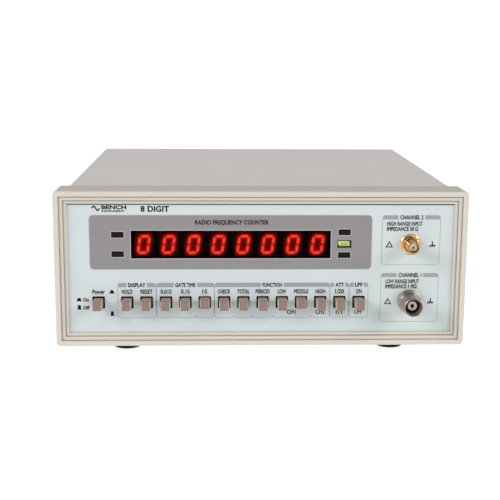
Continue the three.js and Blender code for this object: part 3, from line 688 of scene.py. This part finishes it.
def make_film():
    inset = 0.3
    outline = rectangle(PANEL_LOW.x + inset, PANEL_LOW.z + inset, PANEL_HIGH.x - inset,
                        PANEL_HIGH.z - inset, 1.0)
    film = printed([outline, *panel_holes()], PANEL_FACE - 0.01, FILM)
    show("panel_film", film, ["film"])
    # the plate is near black, so its edges in the gaps and holes show as painted shade
    softened("front_panel", "plate", 0.15, 1)

    # a dark ring at the edge of the bezel's opening, a painted shadow under its lip: it shows past the
    # opening only along the top
    half = BEZEL_WIDTH / 2 - BEZEL_RIM
    outer, inner = (rectangle(-half + side, BEZEL_RIM + side, half - side,
                              BEZEL_HEIGHT - BEZEL_RIM - high, 0.5)
                    for side, high in ((-0.4, -0.4), (-0.1, 0.6)))
    show("panel_lip_shadow", printed([outer, inner], FILM_FACE, 0.15), ["lip_shadow"])

    zone = DISPLAY_ZONE
    outer = rectangle(zone["left"], zone["low"], zone["right"], zone["high"], zone["radius"])
    windows = [around(WINDOW, WINDOW_WIDTH, WINDOW_HEIGHT, 0.35)]
    windows += [around(middle_of(lamp), LAMP_WIDTH, LAMP_HEIGHT, 0.3) for lamp in LAMPS]
    show("display_zone", printed([outer, *windows], FILM_FACE, INK), ["ink_grey"])
    rims = [ribbon(rectangle(zone["left"] - 0.2, zone["low"] - 0.2, zone["right"] + 0.2,
                             zone["high"] + 0.2, zone["radius"] + 0.2), 0.36, closed=True),
            ribbon(around(WINDOW, WINDOW_WIDTH, WINDOW_HEIGHT, 0.18), 0.34, closed=True)]
    rims += [ribbon(around(middle_of(lamp), LAMP_WIDTH, LAMP_HEIGHT, 0.15), 0.28, closed=True)
             for lamp in LAMPS if lamp != LIT_LAMP]
    face = FILM_FACE - 0.2 * INK
    meshes = [printed(loops, face, INK) for loops in rims]
    show("pale_outlines", meshes, ["ink_pale"])
    lit = ribbon(around(middle_of(LIT_LAMP), LAMP_WIDTH, LAMP_HEIGHT, 0.22), 0.4, closed=True)
    show("lit_lamp_outline", printed(lit, face, INK), ["ink_black"])


GROUP_LOW = 14.4
GROUP_BAR_LOW = 30.7
GROUP_HIGH = 33.0
CELL_RADIUS = 1.2
LINE_WIDTH = 0.24
GROUPS = [  # title, half the title's gap, first station and last station of each cell
    ("DISPLAY", 5.3, [("hold", "reset")]),
    ("GATE TIME", 6.0, [("gate_10ms", "gate_10ms"), ("gate_100ms", "gate_100ms"),
                        ("gate_1s", "gate_1s")]),
    ("FUNCTION", 5.9, [("check", "check"), ("total", "total"), ("period", "period"),
                       ("low_band", "mid_band"), ("high_band", "high_band")]),
    ("ATT", 2.9, [("attenuator", "attenuator")]),
    ("LPF", 2.6, [("low_pass", "low_pass")]),
]
CHANNEL_BAR = 2.2  # height of the bars beside a channel's title
CHANNEL_RADIUS = 1.4
CHANNEL_HALF_GAP = 6.9  # half the gap between its two bars
CHANNELS = {  # the frames round the two connectors
    "CHANNEL 2": {"left": 62.1, "right": 92.2, "low": 42.6, "high": 68.4, "axis": SMA},
    "CHANNEL 1": {"left": 62.1, "right": 92.2, "low": 12.0, "high": 38.0, "axis": BNC},
}


def bar_pair(left, right, gap_middle, half_gap, low, high, radius):
    """Two bars with a gap for a title, their outer top corners rounded."""
    first = [(gap_middle - half_gap, low), (gap_middle - half_gap, high),
             *arc(left + radius, high - radius, radius, 90, 180), (left, low)]
    second = [(gap_middle + half_gap, high), (gap_middle + half_gap, low), (right, low),
              *arc(right - radius, high - radius, radius, 0, 90)]
    return [first, second]


def title_middle(channel):
    """A channel's title stands 0.1 mm right of the middle of its frame."""
    return (channel["left"] + channel["right"]) / 2 + 0.1


def make_groups():
    bars, lines = [], []
    for _, half_gap, cells in GROUPS:
        left = STATION[cells[0][0]] - HALF_PITCH + LINE_WIDTH / 2
        right = STATION[cells[-1][1]] + HALF_PITCH - LINE_WIDTH / 2
        bars += bar_pair(left, right, (left + right) / 2, half_gap, GROUP_BAR_LOW, GROUP_HIGH,
                         CELL_RADIUS)
        path = [(left, GROUP_BAR_LOW)]
        for first, last in cells:
            start = max(left, STATION[first] - HALF_PITCH)
            end = min(right, STATION[last] + HALF_PITCH)
            path += arc(start + CELL_RADIUS, GROUP_LOW + CELL_RADIUS, CELL_RADIUS, 180, 270)
            path += arc(end - CELL_RADIUS, GROUP_LOW + CELL_RADIUS, CELL_RADIUS, 270, 360)
        path.append((right, GROUP_BAR_LOW))
        lines.append(ribbon(path, LINE_WIDTH))
    radius = CHANNEL_RADIUS
    for channel in CHANNELS.values():
        left, right = channel["left"], channel["right"]
        low, high = channel["low"] + radius, channel["high"]
        bar_low = high - CHANNEL_BAR
        bars += bar_pair(left, right, title_middle(channel), CHANNEL_HALF_GAP, bar_low, high,
                         radius)
        path = [(left, bar_low), *arc(left + radius, low, radius, 180, 270),
                *arc(right - radius, low, radius, 270, 360), (right, bar_low)]
        lines.append(ribbon(path, LINE_WIDTH))
    bars = [[bar] for bar in bars]
    for name, finish, prints in (("title_bars", "ink_bar", bars), ("group_lines", "ink_line", lines)):
        meshes = [printed(loops, FILM_FACE, INK) for loops in prints]
        show(name, meshes, [finish])


LEGEND_CAP = 2.45
TITLE_CAP = 2.3
LEGENDS_ABOVE = {  # text and its width
    "hold": ("HOLD", 5.6), "reset": ("RESET", 6.2), "gate_10ms": ("0.01S", 5.6),
    "gate_100ms": ("0.1S", 4.6), "gate_1s": ("1S", 2.6), "check": ("CHECK", 6.5),
    "total": ("TOTAL", 6.3), "period": ("PERIOD", 7.4), "low_band": ("LOW", 4.4),
    "mid_band": ("MIDDLE", 7.4), "high_band": ("HIGH", 5.0), "attenuator": ("1/20", 4.6),
    "low_pass": ("ON", 3.0),
}
TITLE_WIDTHS = {"DISPLAY": 8.9, "GATE TIME": 10.4, "FUNCTION": 10.2, "ATT": 4.3, "LPF": 4.0}


def pictogram(x, z, height, base, key):
    """A generic push-button sign: a base with a raised key, of those widths."""
    half_base, half_key = base / 2, key / 2
    return [(x - half_base, z), (x + half_base, z), (x + half_base - 0.1, z + 0.35),
            (x + half_key + 0.15, z + 0.75), (x + half_key, z + height), (x - half_key, z + height),
            (x - half_key - 0.15, z + 0.75), (x - half_base + 0.1, z + 0.35)]


def earth_sign(x, z):
    """Lines of a generic earth sign, a stem on a bar with three short legs."""
    lines = [[(x, z + 1.75), (x, z - 0.4)], [(x - 1.4, z - 0.4), (x + 1.4, z - 0.4)]]
    lines += [[(x + shift, z - 0.4), (x + shift - 0.45, z - 1.2)] for shift in (-1.05, 0.1, 1.25)]
    return lines


BELOW = 16.2  # height of the words under the buttons
ABOVE = 27.2  # and of those over them
HEADINGS = [  # text, left end, height, height of a capital, width and weight
    ("BENCH", -81.6, 71.4, 2.2, 12.6, 0.12),
    ("INSTRUMENT", -81.6, 70.0, 1.0, 11.6, 0.05),
    ("8 DIGIT", -61.8, 70.1, 3.2, 14.5, 0.14),
]
RATING_DROP = 5.5  # from the top of a channel's frame to its first rating
RATING_PITCH = 2.7
RATINGS = {  # text and width of the two lines in each channel's frame
    "CHANNEL 2": (("HIGH RANGE INPUT", 18.4), ("IMPEDANCE 50 Ω", 16.2)),
    "CHANNEL 1": (("LOW RANGE INPUT", 17.6), ("IMPEDANCE 1 MΩ", 16.4)),
}


def make_legends():
    meshes = []

    def write(*words, **style):
        meshes.append(lettering(*words, **style))

    for title, _, cells in GROUPS:
        middle = (STATION[cells[0][0]] + STATION[cells[-1][1]]) / 2
        write(title, middle, GROUP_BAR_LOW + 0.05, TITLE_CAP, TITLE_WIDTHS[title], weight=0.11)
    for name, (text, width) in LEGENDS_ABOVE.items():
        write(text, STATION[name], ABOVE, LEGEND_CAP, width)
    for text, x, width in (("CH1", (STATION["low_band"] + STATION["mid_band"]) / 2, 4.6),
                           ("CH2", STATION["high_band"], 4.8),
                           ("1/1", STATION["attenuator"], 3.4), ("OFF", STATION["low_pass"], 4.2)):
        write(text, x, BELOW, LEGEND_CAP, width)
    write("Power", STATION["power"], ABOVE, 2.4, 6.6, shear=0.15)
    for text, level, width in (("On", 23.1, 3.0), ("Off", 18.9, 3.3)):
        write(text, -92.0, level, 2.1, width, "LEFT")
    write("RADIO FREQUENCY COUNTER", -15.3, 63.5, 2.5, 37.7, weight=0.11)
    for *words, weight in HEADINGS:
        write(*words, "LEFT", weight=weight)
    for title, channel in CHANNELS.items():
        write(title, title_middle(channel), channel["high"] - CHANNEL_BAR, 2.35, 12.0, weight=0.11)
        for row, (text, width) in enumerate(RATINGS[title]):
            level = channel["high"] - RATING_DROP - RATING_PITCH * row
            write(text, channel["left"] + 2.4, level, 2.3, width, "LEFT")
    signs = [pictogram(-94.0, 23.3, 1.75, 2.8, 1.5), pictogram(-94.0, 18.9, 2.4, 2.1, 1.3),
             pictogram(-77.1, 27.4, 1.75, 2.8, 1.5), pictogram(-77.1, 15.5, 2.4, 2.1, 1.3)]
    wave = [(-86.4 + 3.8 * step / 24, 71.9 + 1.1 * math.sin(2 * math.pi * step / 24))
            for step in range(25)]
    strokes = [ribbon(wave, 0.7)]
    for channel in CHANNELS.values():
        level = channel["axis"].z
        strokes += [ribbon(line, 0.55) for line in earth_sign(88.4, level - 0.2)]
        x = 66.0
        strokes.append(ribbon([(x - 1.55, level - 1.4), (x + 1.55, level - 1.4), (x, level + 1.3)],
                              0.48, closed=True))
    meshes += [printed(loops, FILM_FACE - INK, INK) for loops in [[sign] for sign in signs] + strokes]
    show("legends", meshes, ["ink_black"])


# ---- Display ---------------------------------------------------------------------------------

DIGIT_HEIGHT = 10.2
DIGIT_WIDTH = 6.5
DIGIT_RADIUS = 1.5  # of the glow's corners, along the segments' middle line
STROKE = 1.6
SLANT = math.tan(math.radians(8.3))
SEGMENT_GAP = 0.2
HALO_PITCH = 0.3  # of the grid that carries the glow round the segments
HALO_PEAK = 0.85
FADE_INSIDE, FADE_OUTSIDE = 0.8, 0.5  # how fast the glow fades in a zero and round it
LIT_SHARE = 0.42  # of the stroke, each side of its middle line, where the glow is full
LENS_CORE = 0.8  # share of a lamp lens's half width that glows fully
UNLIT = "g"  # every digit shows a zero, so only its middle segment is dark


def segment_lines():
    """Middle lines of the seven segments, about the digit's middle: (start, end) by name."""
    x, z = (DIGIT_WIDTH - STROKE) / 2, (DIGIT_HEIGHT - STROKE) / 2
    return {"a": ((-x, z), (x, z)), "b": ((x, z), (x, 0)), "c": ((x, 0), (x, -z)),
            "d": ((-x, -z), (x, -z)), "e": ((-x, 0), (-x, -z)), "f": ((-x, z), (-x, 0)),
            "g": ((-x, 0), (x, 0))}


def slanted(x, z):
    return x + SLANT * z, z


def given_glow(mesh, glow):
    """The same mesh with a glow value on each of its points."""
    mesh.attributes.new("glow", "FLOAT", "POINT").data.foreach_set("value", glow)
    return mesh


def glow_mesh(points, faces, glow):
    """A smooth mesh in millimetres whose points carry a glow value."""
    mesh = bpy.data.meshes.new("glow")
    mesh.from_pydata([at(*point) for point in points], [], faces)
    mesh.polygons.foreach_set("use_smooth", [True] * len(mesh.polygons))
    return given_glow(mesh, glow)


def segment_mesh(line, centre, face):
    """A six-sided bar that is brightest at its middle and darker at its sides and ends."""
    start, end = (Vector(spot) for spot in line)
    along = (end - start).normalized()
    across = Vector((-along.y, along.x)) * STROKE / 2
    start += along * SEGMENT_GAP
    end -= along * SEGMENT_GAP
    shoulder = along * STROKE / 2
    outline = [start, start + shoulder + across, end - shoulder + across, end,
               end - shoulder - across, start + shoulder - across]
    ridge = [start + shoulder, (start + end) / 2, end - shoulder]
    flat = [slanted(*point) for point in outline + ridge]
    rear = face + 0.3
    points = [(centre.x + x, face, centre.z + z) for x, z in flat]
    points += [(centre.x + x, rear, centre.z + z) for x, z in flat[:6]]
    faces = [(0, 1, 6), (1, 2, 8, 7, 6), (2, 3, 8), (3, 4, 8), (4, 5, 6, 7, 8), (5, 0, 6)]
    faces += [(index, (index + 1) % 6, 9 + (index + 1) % 6, 9 + index) for index in range(6)]
    faces.append(tuple(range(9, 15)))
    glow = [0.5] * 6 + [0.72, 1.0, 0.72] + [0.3] * 6
    return faced_outwards(glow_mesh(points, faces, glow))


def distance_to_ring(x, z):
    """Signed distance to the middle line of a zero, negative inside it."""
    side = abs(x) - (DIGIT_WIDTH - STROKE) / 2 + DIGIT_RADIUS
    rise = abs(z) - (DIGIT_HEIGHT - STROKE) / 2 + DIGIT_RADIUS
    corner = math.hypot(max(side, 0.0), max(rise, 0.0))
    return corner + min(max(side, rise), 0.0) - DIGIT_RADIUS


def halo_mesh(centre, face, width, height):
    """The module's face as a grid with a painted glow of the lit segments' light, falling off away
    from them.
    """
    columns, rows = round(width / HALO_PITCH), round(height / HALO_PITCH)
    points, glow = [], []
    for row in range(rows + 1):
        for column in range(columns + 1):
            x = -width / 2 + width * column / columns
            z = -height / 2 + height * row / rows
            points.append((centre.x + x, face, centre.z + z))
            ring = distance_to_ring(x - SLANT * z, z)
            away = max(0.0, abs(ring) - LIT_SHARE * STROKE)
            glow.append(HALO_PEAK * math.exp(-away / (FADE_INSIDE if ring < 0 else FADE_OUTSIDE)))
    faces = [(row * (columns + 1) + column, row * (columns + 1) + column + 1,
              (row + 1) * (columns + 1) + column + 1, (row + 1) * (columns + 1) + column)
             for row in range(rows) for column in range(columns)]
    return glow_mesh(points, faces, glow)


def make_digit(number):
    node = f"digit_{number}"
    low, high = node_box(node)
    centre = (low + high) / 2
    lines = segment_lines()
    lit = [line for name, line in lines.items() if name != UNLIT]
    face = low.y
    body = block((low.x, low.y + 0.32, low.z), (high.x, high.y, high.z), 0.25)
    halo = inked(halo_mesh(centre, face + 0.3, high.x - low.x - 0.6, high.z - low.z - 0.6), 1)
    segments = [inked(segment_mesh(line, centre, face), 2) for line in lit]
    point_x, point_z = slanted(DIGIT_WIDTH / 2 + 0.9, -DIGIT_HEIGHT / 2 + 0.6)
    point = turned([(0.55, 0.1), (0.65, 0.25), (0.65, 0.4)],
                   (centre.x + point_x, face, centre.z + point_z), 20)
    show(f"{node}_module", [body, halo, *segments, point], ["digit", "halo", "segment"],
         stands_for=[node], sharp_degrees=30.0)


def make_lamp(node):
    """A rectangular lens with a shallow crown."""
    low, high = node_box(node)
    centre = (low + high) / 2
    lit = node == LIT_LAMP
    rim = 0.7 if lit else 0.0  # the lit lens is the smaller one, in a dark surround
    width, height = high.x - low.x - rim, high.z - low.z - rim
    profile = [(0.62, -0.12), (0.3, -0.08), (0.1, 0.0), (0.0, 0.15), (0.0, high.y - low.y)]
    loops = []
    for inset, depth in profile:
        outline = rounded_loop(width - 2 * inset, height - 2 * inset, 0.3, centre.x, centre.z, 4)
        loops.append(raised(outline, low.y + depth))
    mesh = skin(loops, sharp_degrees=40.0)
    glow = [1.0 if abs(vertex.co.x / MM - centre.x) / (width / 2) < LENS_CORE else 0.5
            for vertex in mesh.vertices]
    show(f"{node}_lens", given_glow(mesh, glow), ["lamp_on" if lit else "lamp_off"],
         stands_for=[node])


def make_display():
    for number in range(1, 9):
        make_digit(number)
    for lamp in LAMPS:
        make_lamp(lamp)
    softened("display_filter", "filter", 0.2)


# ---- Push buttons ----------------------------------------------------------------------------


def make_button(name):
    """A square cap with rounded edges and a dished face, on its black plunger and stem: all of it
    behind the panel face is black, partly a painted shade in the hole.
    """
    node = f"button_{name}"
    low, high = node_box(node)
    x, z = (low.x + high.x) / 2, (low.z + high.z) / 2
    face_size, base_size, stem_size = 5.1, 4.8, 3.0
    cap_length = 13.0
    latched = name in LATCHED
    # the cap's colour ends at the panel face; behind that it is black, a painted shade in the hole
    # round it
    shell_length = FILM_FACE - low.y + (LATCH_DEPTH if latched else 0.0) + 0.15
    sections = [  # width, corner radius, depth behind the face
        (1.2, 0.4, 0.1), (3.3, 0.5, 0.05), (face_size - 0.9, 0.45, 0.0),
        (face_size - 0.3, 0.55, 0.1), (face_size - 0.08, 0.6, 0.3), (face_size, 0.6, 0.6),
        (base_size - 0.05, 0.6, shell_length), (base_size - 0.35, 0.55, shell_length + 0.02),
        (base_size - 0.35, 0.55, cap_length - 0.3), (base_size - 0.6, 0.5, cap_length),
        (stem_size, 0.2, cap_length), (stem_size, 0.2, high.y - low.y - 0.3),
        (stem_size - 0.5, 0.15, high.y - low.y),
    ]
    loops = [raised(rounded_loop(width, width, radius, x, z, 5), low.y + depth)
             for width, radius, depth in sections]
    mesh = skin(loops, sharp_degrees=50.0)
    middle = at(x, low.y, z)
    highlight_band = 0.42
    rim = (face_size / 2 - highlight_band) * MM
    for polygon in mesh.polygons:
        depth = (polygon.center.y - middle.y) / MM
        across = abs(polygon.center.x - middle.x)
        on_front_highlight = 0.02 < depth < 0.5 and across > rim and abs(polygon.normal.x) > 0.15
        on_side = 0.5 < depth < shell_length
        on_corner_highlight = on_side and min(abs(polygon.normal.x), abs(polygon.normal.z)) > 0.3
        on_lit_top = on_side and polygon.normal.z > 0.9
        # material 0 is the cap, 1 a painted highlight on its edges, 2 its upper side painted lighter
        # as if lit, and 3 its part behind the panel face, black as a painted shade in the hole
        if depth > shell_length:
            polygon.material_index = 3
        elif on_front_highlight or on_corner_highlight:
            polygon.material_index = 1
        elif on_lit_top:
            polygon.material_index = 2
    show(f"{node}_cap", mesh, ["button", "button_edge_highlight", "button_top_painted_light", "plate"], body=node,
         stands_for=[node])


# ---- Connectors ------------------------------------------------------------------------------


def placed(mesh, spot, turn):
    """A mesh made about (0, 0, 0) turned about that point and taken to a spot."""
    home = Matrix.Translation(-at(0, 0, 0))
    return moved(mesh, Matrix.Translation(at(*spot)) @ turn @ home)


def make_jack_core(kind, centre, insulator, contact, bore, segments, finish):
    """The insulator, the contact and a black disc in the contact's bore, a painted shade, which both
    jacks have.
    """
    around_bore, around_contact = segments
    show(f"{kind}_jack_insulator", turned(insulator, centre, around_bore, closed=True), [finish],
         stands_for=[f"{kind}_insulator"])
    show(f"{kind}_jack_contact", turned(contact, centre, around_contact), ["gold"],
         stands_for=[f"{kind}_contact"])
    # a black disc just inside the contact: painted shade in its hole
    radius, front = bore
    depth = [(0.1, front), (radius, front), (radius, front + 0.1), (0.1, front + 0.1)]
    show(f"{kind}_contact_shade", turned(depth, centre, 24), ["plate"])


def make_bnc():
    centre = (BNC.x, PANEL_FACE, BNC.z)
    proud = 14.6
    meshes = [turned([
        (4.05, -proud + 0.9), (4.12, -proud + 0.7), (4.4, -proud + 0.08), (4.48, -proud),
        (4.62, -proud), (4.76, -proud + 0.12), (4.8, -proud + 0.35), (4.8, -6.4), (4.62, -6.1),
        (4.62, -5.2), (4.8, -4.9), (4.8, -2.9), (5.0, -2.75), (5.85, -2.75), (6.1, -2.6),
        (6.15, -2.4), (6.15, -0.5), (6.05, -0.3), (4.7, -0.3), (4.7, 11), (2.7, 11),
        (2.7, -4.5), (4.05, -4.5),
    ], centre, 72, closed=True)]
    lug_depth, lug_reach = 4.6, 5.5
    for side in (-1, 1):
        lug = turned([(0.45, 0.0), (0.85, 0.06), (1.0, 0.25), (1.0, 1.1)], (0, 0, 0), 28)
        spot = (BNC.x, PANEL_FACE - proud + lug_depth, BNC.z + side * lug_reach)
        meshes.append(placed(lug, spot, Matrix.Rotation(-side * math.pi / 2, 4, "X")))
    show("bnc_jack_shell", meshes, ["nickel"], stands_for=["bnc_shell"],
         sharp_degrees=30.0)
    # a dull sheet over the bore's wall and floor, darker than the nickel: painted shade inside the
    # bore
    bore, front, rear = 3.98, -proud + 1.0, -4.6
    bore_shade_wall = turned([(bore, front), (bore + 0.06, front), (bore + 0.06, rear), (bore, rear)],
                    centre, 64, closed=True)
    floor = turned([(2.75, -4.62), (bore, -4.62), (bore, -4.55), (2.75, -4.55)], centre, 64,
                   closed=True)
    show("bnc_bore_shade", [bore_shade_wall, floor], ["bore"])
    insulator = [(1.3, -9.9), (0.95, -10.0), (0.95, -10.4), (1.1, -10.6), (2.2, -10.6),
                 (2.38, -10.45), (2.4, -10.2), (2.4, 12.5), (1.3, 12.5)]
    contact = [(0.55, -5.6), (0.62, -9.3), (0.75, -9.6), (0.95, -9.5), (1.0, -9.2), (1.0, 14.7),
               (0.7, 15)]
    make_jack_core("bnc", centre, insulator, contact, (0.7, -9.0), (48, 32), "ptfe")
    softened("bnc_nut", "nickel", 0.3)


def hex_nut(across_flats, hole, front, rear, x, z):
    """A hexagon nut with chamfered corners and a plain bore."""
    segments = 48
    flat = across_flats / 2
    corner = flat / math.cos(math.pi / 6)

    def ring(limit, depth):
        """The hexagon's outline, its corners cut off at a radius."""
        loop = []
        for step in range(segments):
            angle = 2 * math.pi * step / segments
            sector = (angle + math.pi / 6) % (math.pi / 3) - math.pi / 6
            radius = min(flat / math.cos(sector), limit)
            loop.append((x + radius * math.cos(angle), depth, z + radius * math.sin(angle)))
        return loop

    bore, bore_rear = (ring(hole, depth) for depth in (front + 0.15, rear))
    rings = [(flat * 0.99, front), (corner * 0.985, front + 0.28), (corner, front + 0.5),
             (corner, rear - 0.2), (corner * 0.985, rear)]
    loops = [bore, *(ring(limit, depth) for limit, depth in rings), bore_rear]
    return skin(loops, closed=True, sharp_degrees=28.0)


def make_sma():
    centre = (SMA.x, PANEL_FACE, SMA.z)
    proud, outer, thread_depth, pitch = 11.5, 3.175, 0.24, 0.706
    root = outer - thread_depth
    profile = [(2.35, -proud + 0.2), (2.5, -proud), (2.75, -proud), (outer - 0.15, -proud + 0.35)]
    turns = 12
    for turn in range(turns):
        start = -proud + 0.6 + turn * pitch
        profile += [(outer, start), (outer, start + 0.12), (root, start + 0.36),
                    (root, start + 0.44)]
    profile += [(outer, -proud + 0.6 + turns * pitch), (outer, 2.3), (4.5, 2.3), (4.5, 4.5),
                (outer, 4.5), (outer, 9), (2.35, 9)]
    show("sma_jack_shell", turned(profile, centre, 56, closed=True, sharp_degrees=25.0), ["gold"],
         stands_for=["sma_shell"])
    insulator = [(0.9, -8.7), (0.5, -8.8), (0.5, -8.95), (0.6, -9.0), (1.9, -9.0), (2.03, -8.9),
                 (2.03, 9), (0.9, 9)]
    contact = [(0.42, -6.0), (0.44, -8.5), (0.5, -8.6), (0.6, -8.5), (0.63, -8.3), (0.63, 9.4),
               (0.5, 9.5)]
    make_jack_core("sma", centre, insulator, contact, (0.5, -8.4), (40, 24), "cream")
    nut = hex_nut(8.0, outer + 0.05, PANEL_FACE - 3.4, PANEL_FACE - 1.1, SMA.x, SMA.z)
    washer = turned([(outer + 0.3, -0.95), (3.9, -1.08), (5.05, -1.0), (5.3, -0.8), (5.3, -0.35),
                     (5.2, -0.2), (outer + 0.3, -0.2)], centre, 56, closed=True)
    show("sma_jack_nut", [nut, washer], ["gold"], stands_for=["sma_nut"],
         sharp_degrees=28.0)


# ---- Covers, feet and screws -----------------------------------------------------------------


def screw_mesh(head_radius, head_height):
    """A pan-head screw with a cross recess, its head towards -Y and its seat at depth 0."""
    # shares of the head's radius and height, from the top of the crown down
    crown = [(0.45, 0.97), (0.75, 0.82), (0.94, 0.5), (1.0, 0.2), (0.99, 0.0)]
    shank = head_radius * 0.5
    head = turned([
        (0.3, -head_height), *((head_radius * out, -head_height * up) for out, up in crown),
        (shank, 0.0), (shank, 3.0), (head_radius * 0.35, 3.5),
    ], (0, 0, 0), 40)
    arm, half_width = head_radius * 0.56, head_radius * 0.13
    cross = [(half_width, half_width), (half_width, arm), (-half_width, arm),
             (-half_width, half_width), (-arm, half_width), (-arm, -half_width),
             (-half_width, -half_width), (-half_width, -arm), (half_width, -arm),
             (half_width, -half_width), (arm, -half_width), (arm, half_width)]
    narrow = [(0.55 * px, 0.55 * pz) for px, pz in cross]
    depth = head_height * 0.8
    cutter = skin([raised(cross, -head_height - 0.5), raised(cross, -head_height),
                   raised(narrow, depth - head_height)])
    mesh = settled(evaluated_mesh(head, cutter), 30.0)
    return moved(mesh, Matrix.Translation(-at(0, 0, 0)))


SCREW_SIZES = {"cover": (2.9, 1.9), "rear": (2.7, 1.7), "foot": (3.0, 1.8), "inlet": (2.6, 1.4)}


def place_screws(name, kind, spots, direction, stands_for=()):
    """Screws of one kind at points in millimetres, their heads facing along `direction`."""
    facing = Vector((0, -1, 0)).rotation_difference(Vector(direction)).to_matrix().to_4x4()
    meshes = []
    for index, spot in enumerate(spots):
        spin = Matrix.Rotation(0.6 + 1.1 * index, 4, "Y")
        copy = SCREWS[kind].copy()
        meshes.append(moved(copy, Matrix.Translation(at(*spot)) @ facing @ spin))
    show(name, meshes, ["zinc"], stands_for=stands_for, sharp_degrees=30.0)


FOOT_SEAT = 5.0  # height in a foot's recess where its screw's head rests


def make_foot(node):
    """A tapered rubber foot with rounded edges and a recess for its screw."""
    low, high = node_box(node)
    centre = (low + high) / 2
    height = high.z - low.z
    profile = [
        (2.2, FOOT_SEAT), (3.4, FOOT_SEAT), (3.5, FOOT_SEAT - 0.2), (3.5, 0.35), (3.85, 0.0),
        (6.5, 0.0), (7.0, 0.12), (7.35, 0.45), (7.5, 0.9), (8.05, 4.0), (8.6, 7.2), (8.85, 8.6),
        (9.0, height - 0.6), (8.8, height - 0.1), (8.4, height), (2.2, height),
    ]
    mesh = turned(profile, (0, 0, 0), 56, closed=True, sharp_degrees=38.0)
    stand = Matrix.Rotation(math.pi / 2, 4, "X")
    foot = placed(mesh, (centre.x, centre.y, low.z), stand)
    show(f"{node}_rubber", foot, ["rubber"], stands_for=[node])
    return centre.x, centre.y, low.z + FOOT_SEAT


def make_case():
    for node, width in (("top_cover", 0.25), ("bottom_tray", 0.2), ("rear_panel", 0.2)):
        softened(node, "cover", width)
    low, high = node_box("top_cover")
    radius, end = 1.5, low.y + 3.6  # of the notch in the cover's front edge
    # a black sheet just under the cover's top in its notch, a painted shade for the notch's hollow
    notch_shade_outline = [(-radius, low.y + 0.1), (radius, low.y + 0.1), *arc(0, end, radius, 0, 180, 16)]
    loops = [[(x, y, level) for x, y in notch_shade_outline] for level in (high.z - 0.8, high.z - 0.04)]
    show("cover_notch_shade", skin(loops), ["plate"])
    seats = [make_foot(f"foot_{row}_{side}") for row in ("front", "rear")
             for side in ("left", "right")]
    place_screws("foot_screws", "foot", seats, (0, 0, -1))
    for row in ("front", "rear"):
        for side, sign in (("left", -1), ("right", 1)):
            node = f"cover_screw_{row}_{side}"
            spot = middle_of(node)
            place_screws(f"{node}_head", "cover", [(high.x * sign, spot.y, spot.z)], (sign, 0, 0),
                         [node])
    low, high = node_box("rear_panel")
    inset_x, inset_z = 6, 5
    corners = [(x, high.y, z) for x in (low.x + inset_x, high.x - inset_x)
               for z in (low.z + inset_z, high.z - inset_z)]
    place_screws("rear_panel_screws", "rear", corners, (0, 1, 0))


# ---- Mains inlet -----------------------------------------------------------------------------


def make_inlet():
    softened("mains_inlet", "nylon", 0.35)
    inlet = middle_of("mains_inlet")
    low, high = node_box("mains_inlet")
    screw_reach = 20  # from the inlet's middle
    spots = [(inlet.x + side * screw_reach, high.y, inlet.z) for side in (-1, 1)]
    place_screws("inlet_screws", "inlet", spots, (0, 1, 0))
    socket_z = inlet.z + 5.5  # the socket is in the inlet's upper part, over the fuse drawer
    meshes = []
    for x, z in ((-7, -1.5), (7, -1.5), (0, 2.5)):
        meshes.append(block((inlet.x + x - 1, high.y - 16.6, socket_z + z - 2),
                            (inlet.x + x + 1, high.y - 2.0, socket_z + z + 2), 0.45))
    show("inlet_blades", meshes, ["brass"])
    low, high = node_box("fuse_drawer")
    tray = block(low, (high.x, high.y - 1.6, high.z - 4.2), 0.3)
    face = block((low.x, high.y - 1.8, low.z), high, 0.4)
    lip = block((inlet.x - 4, high.y - 0.6, high.z - 2.2),
                (inlet.x + 4, high.y + 0.28, high.z - 1.0), 0.3)
    walls = [block((x, low.y + 0.2, low.z + 0.5), (x + 1.6, high.y - 1.0, high.z - 0.6), 0.3)
             for x in (low.x + 0.1, high.x - 1.7)]
    show("fuse_drawer_body", [tray, face, lip, *walls], ["nylon"], body="fuse_drawer",
         stands_for=["fuse_drawer"])
    fuse_z = high.z - 1.7 - 1.2
    tube = turned([(2.2, 0), (2.4, 0.1), (2.4, 10.9), (2.2, 11)],
                  (inlet.x, low.y + 6, fuse_z), 32)
    show("fuse_tube", tube, ["glass"], body="fuse_drawer")
    caps = [turned([(2.0, 0), (2.55, 0.2), (2.6, 0.5), (2.6, 4.2), (2.45, 4.5)],
                   (inlet.x, low.y + start, fuse_z), 32) for start in (1.8, 16.5)]
    show("fuse_caps", caps, ["zinc"], body="fuse_drawer")


# ---- Inside ----------------------------------------------------------------------------------


def make_inside():
    plain = {
        "main_board": "board", "display_board": "board_dark", "switch_bank": "nylon",
        "power_switch": "nylon", "crystal_oscillator": "tin", "prescaler_can": "tin",
        "filter_capacitor": "sleeve", "transformer_core": "core", "transformer_coil": "coil",
    }
    for node, finish in plain.items():
        softened(node, finish, 0.2)


make_camera()
make_surroundings()
SCREWS = {kind: screw_mesh(*size) for kind, size in SCREW_SIZES.items()}
make_bezel()
make_film()
make_groups()
make_legends()
make_display()
for button in BUTTONS:
    make_button(button)
make_bnc()
make_sma()
make_case()
make_inlet()
make_inside()
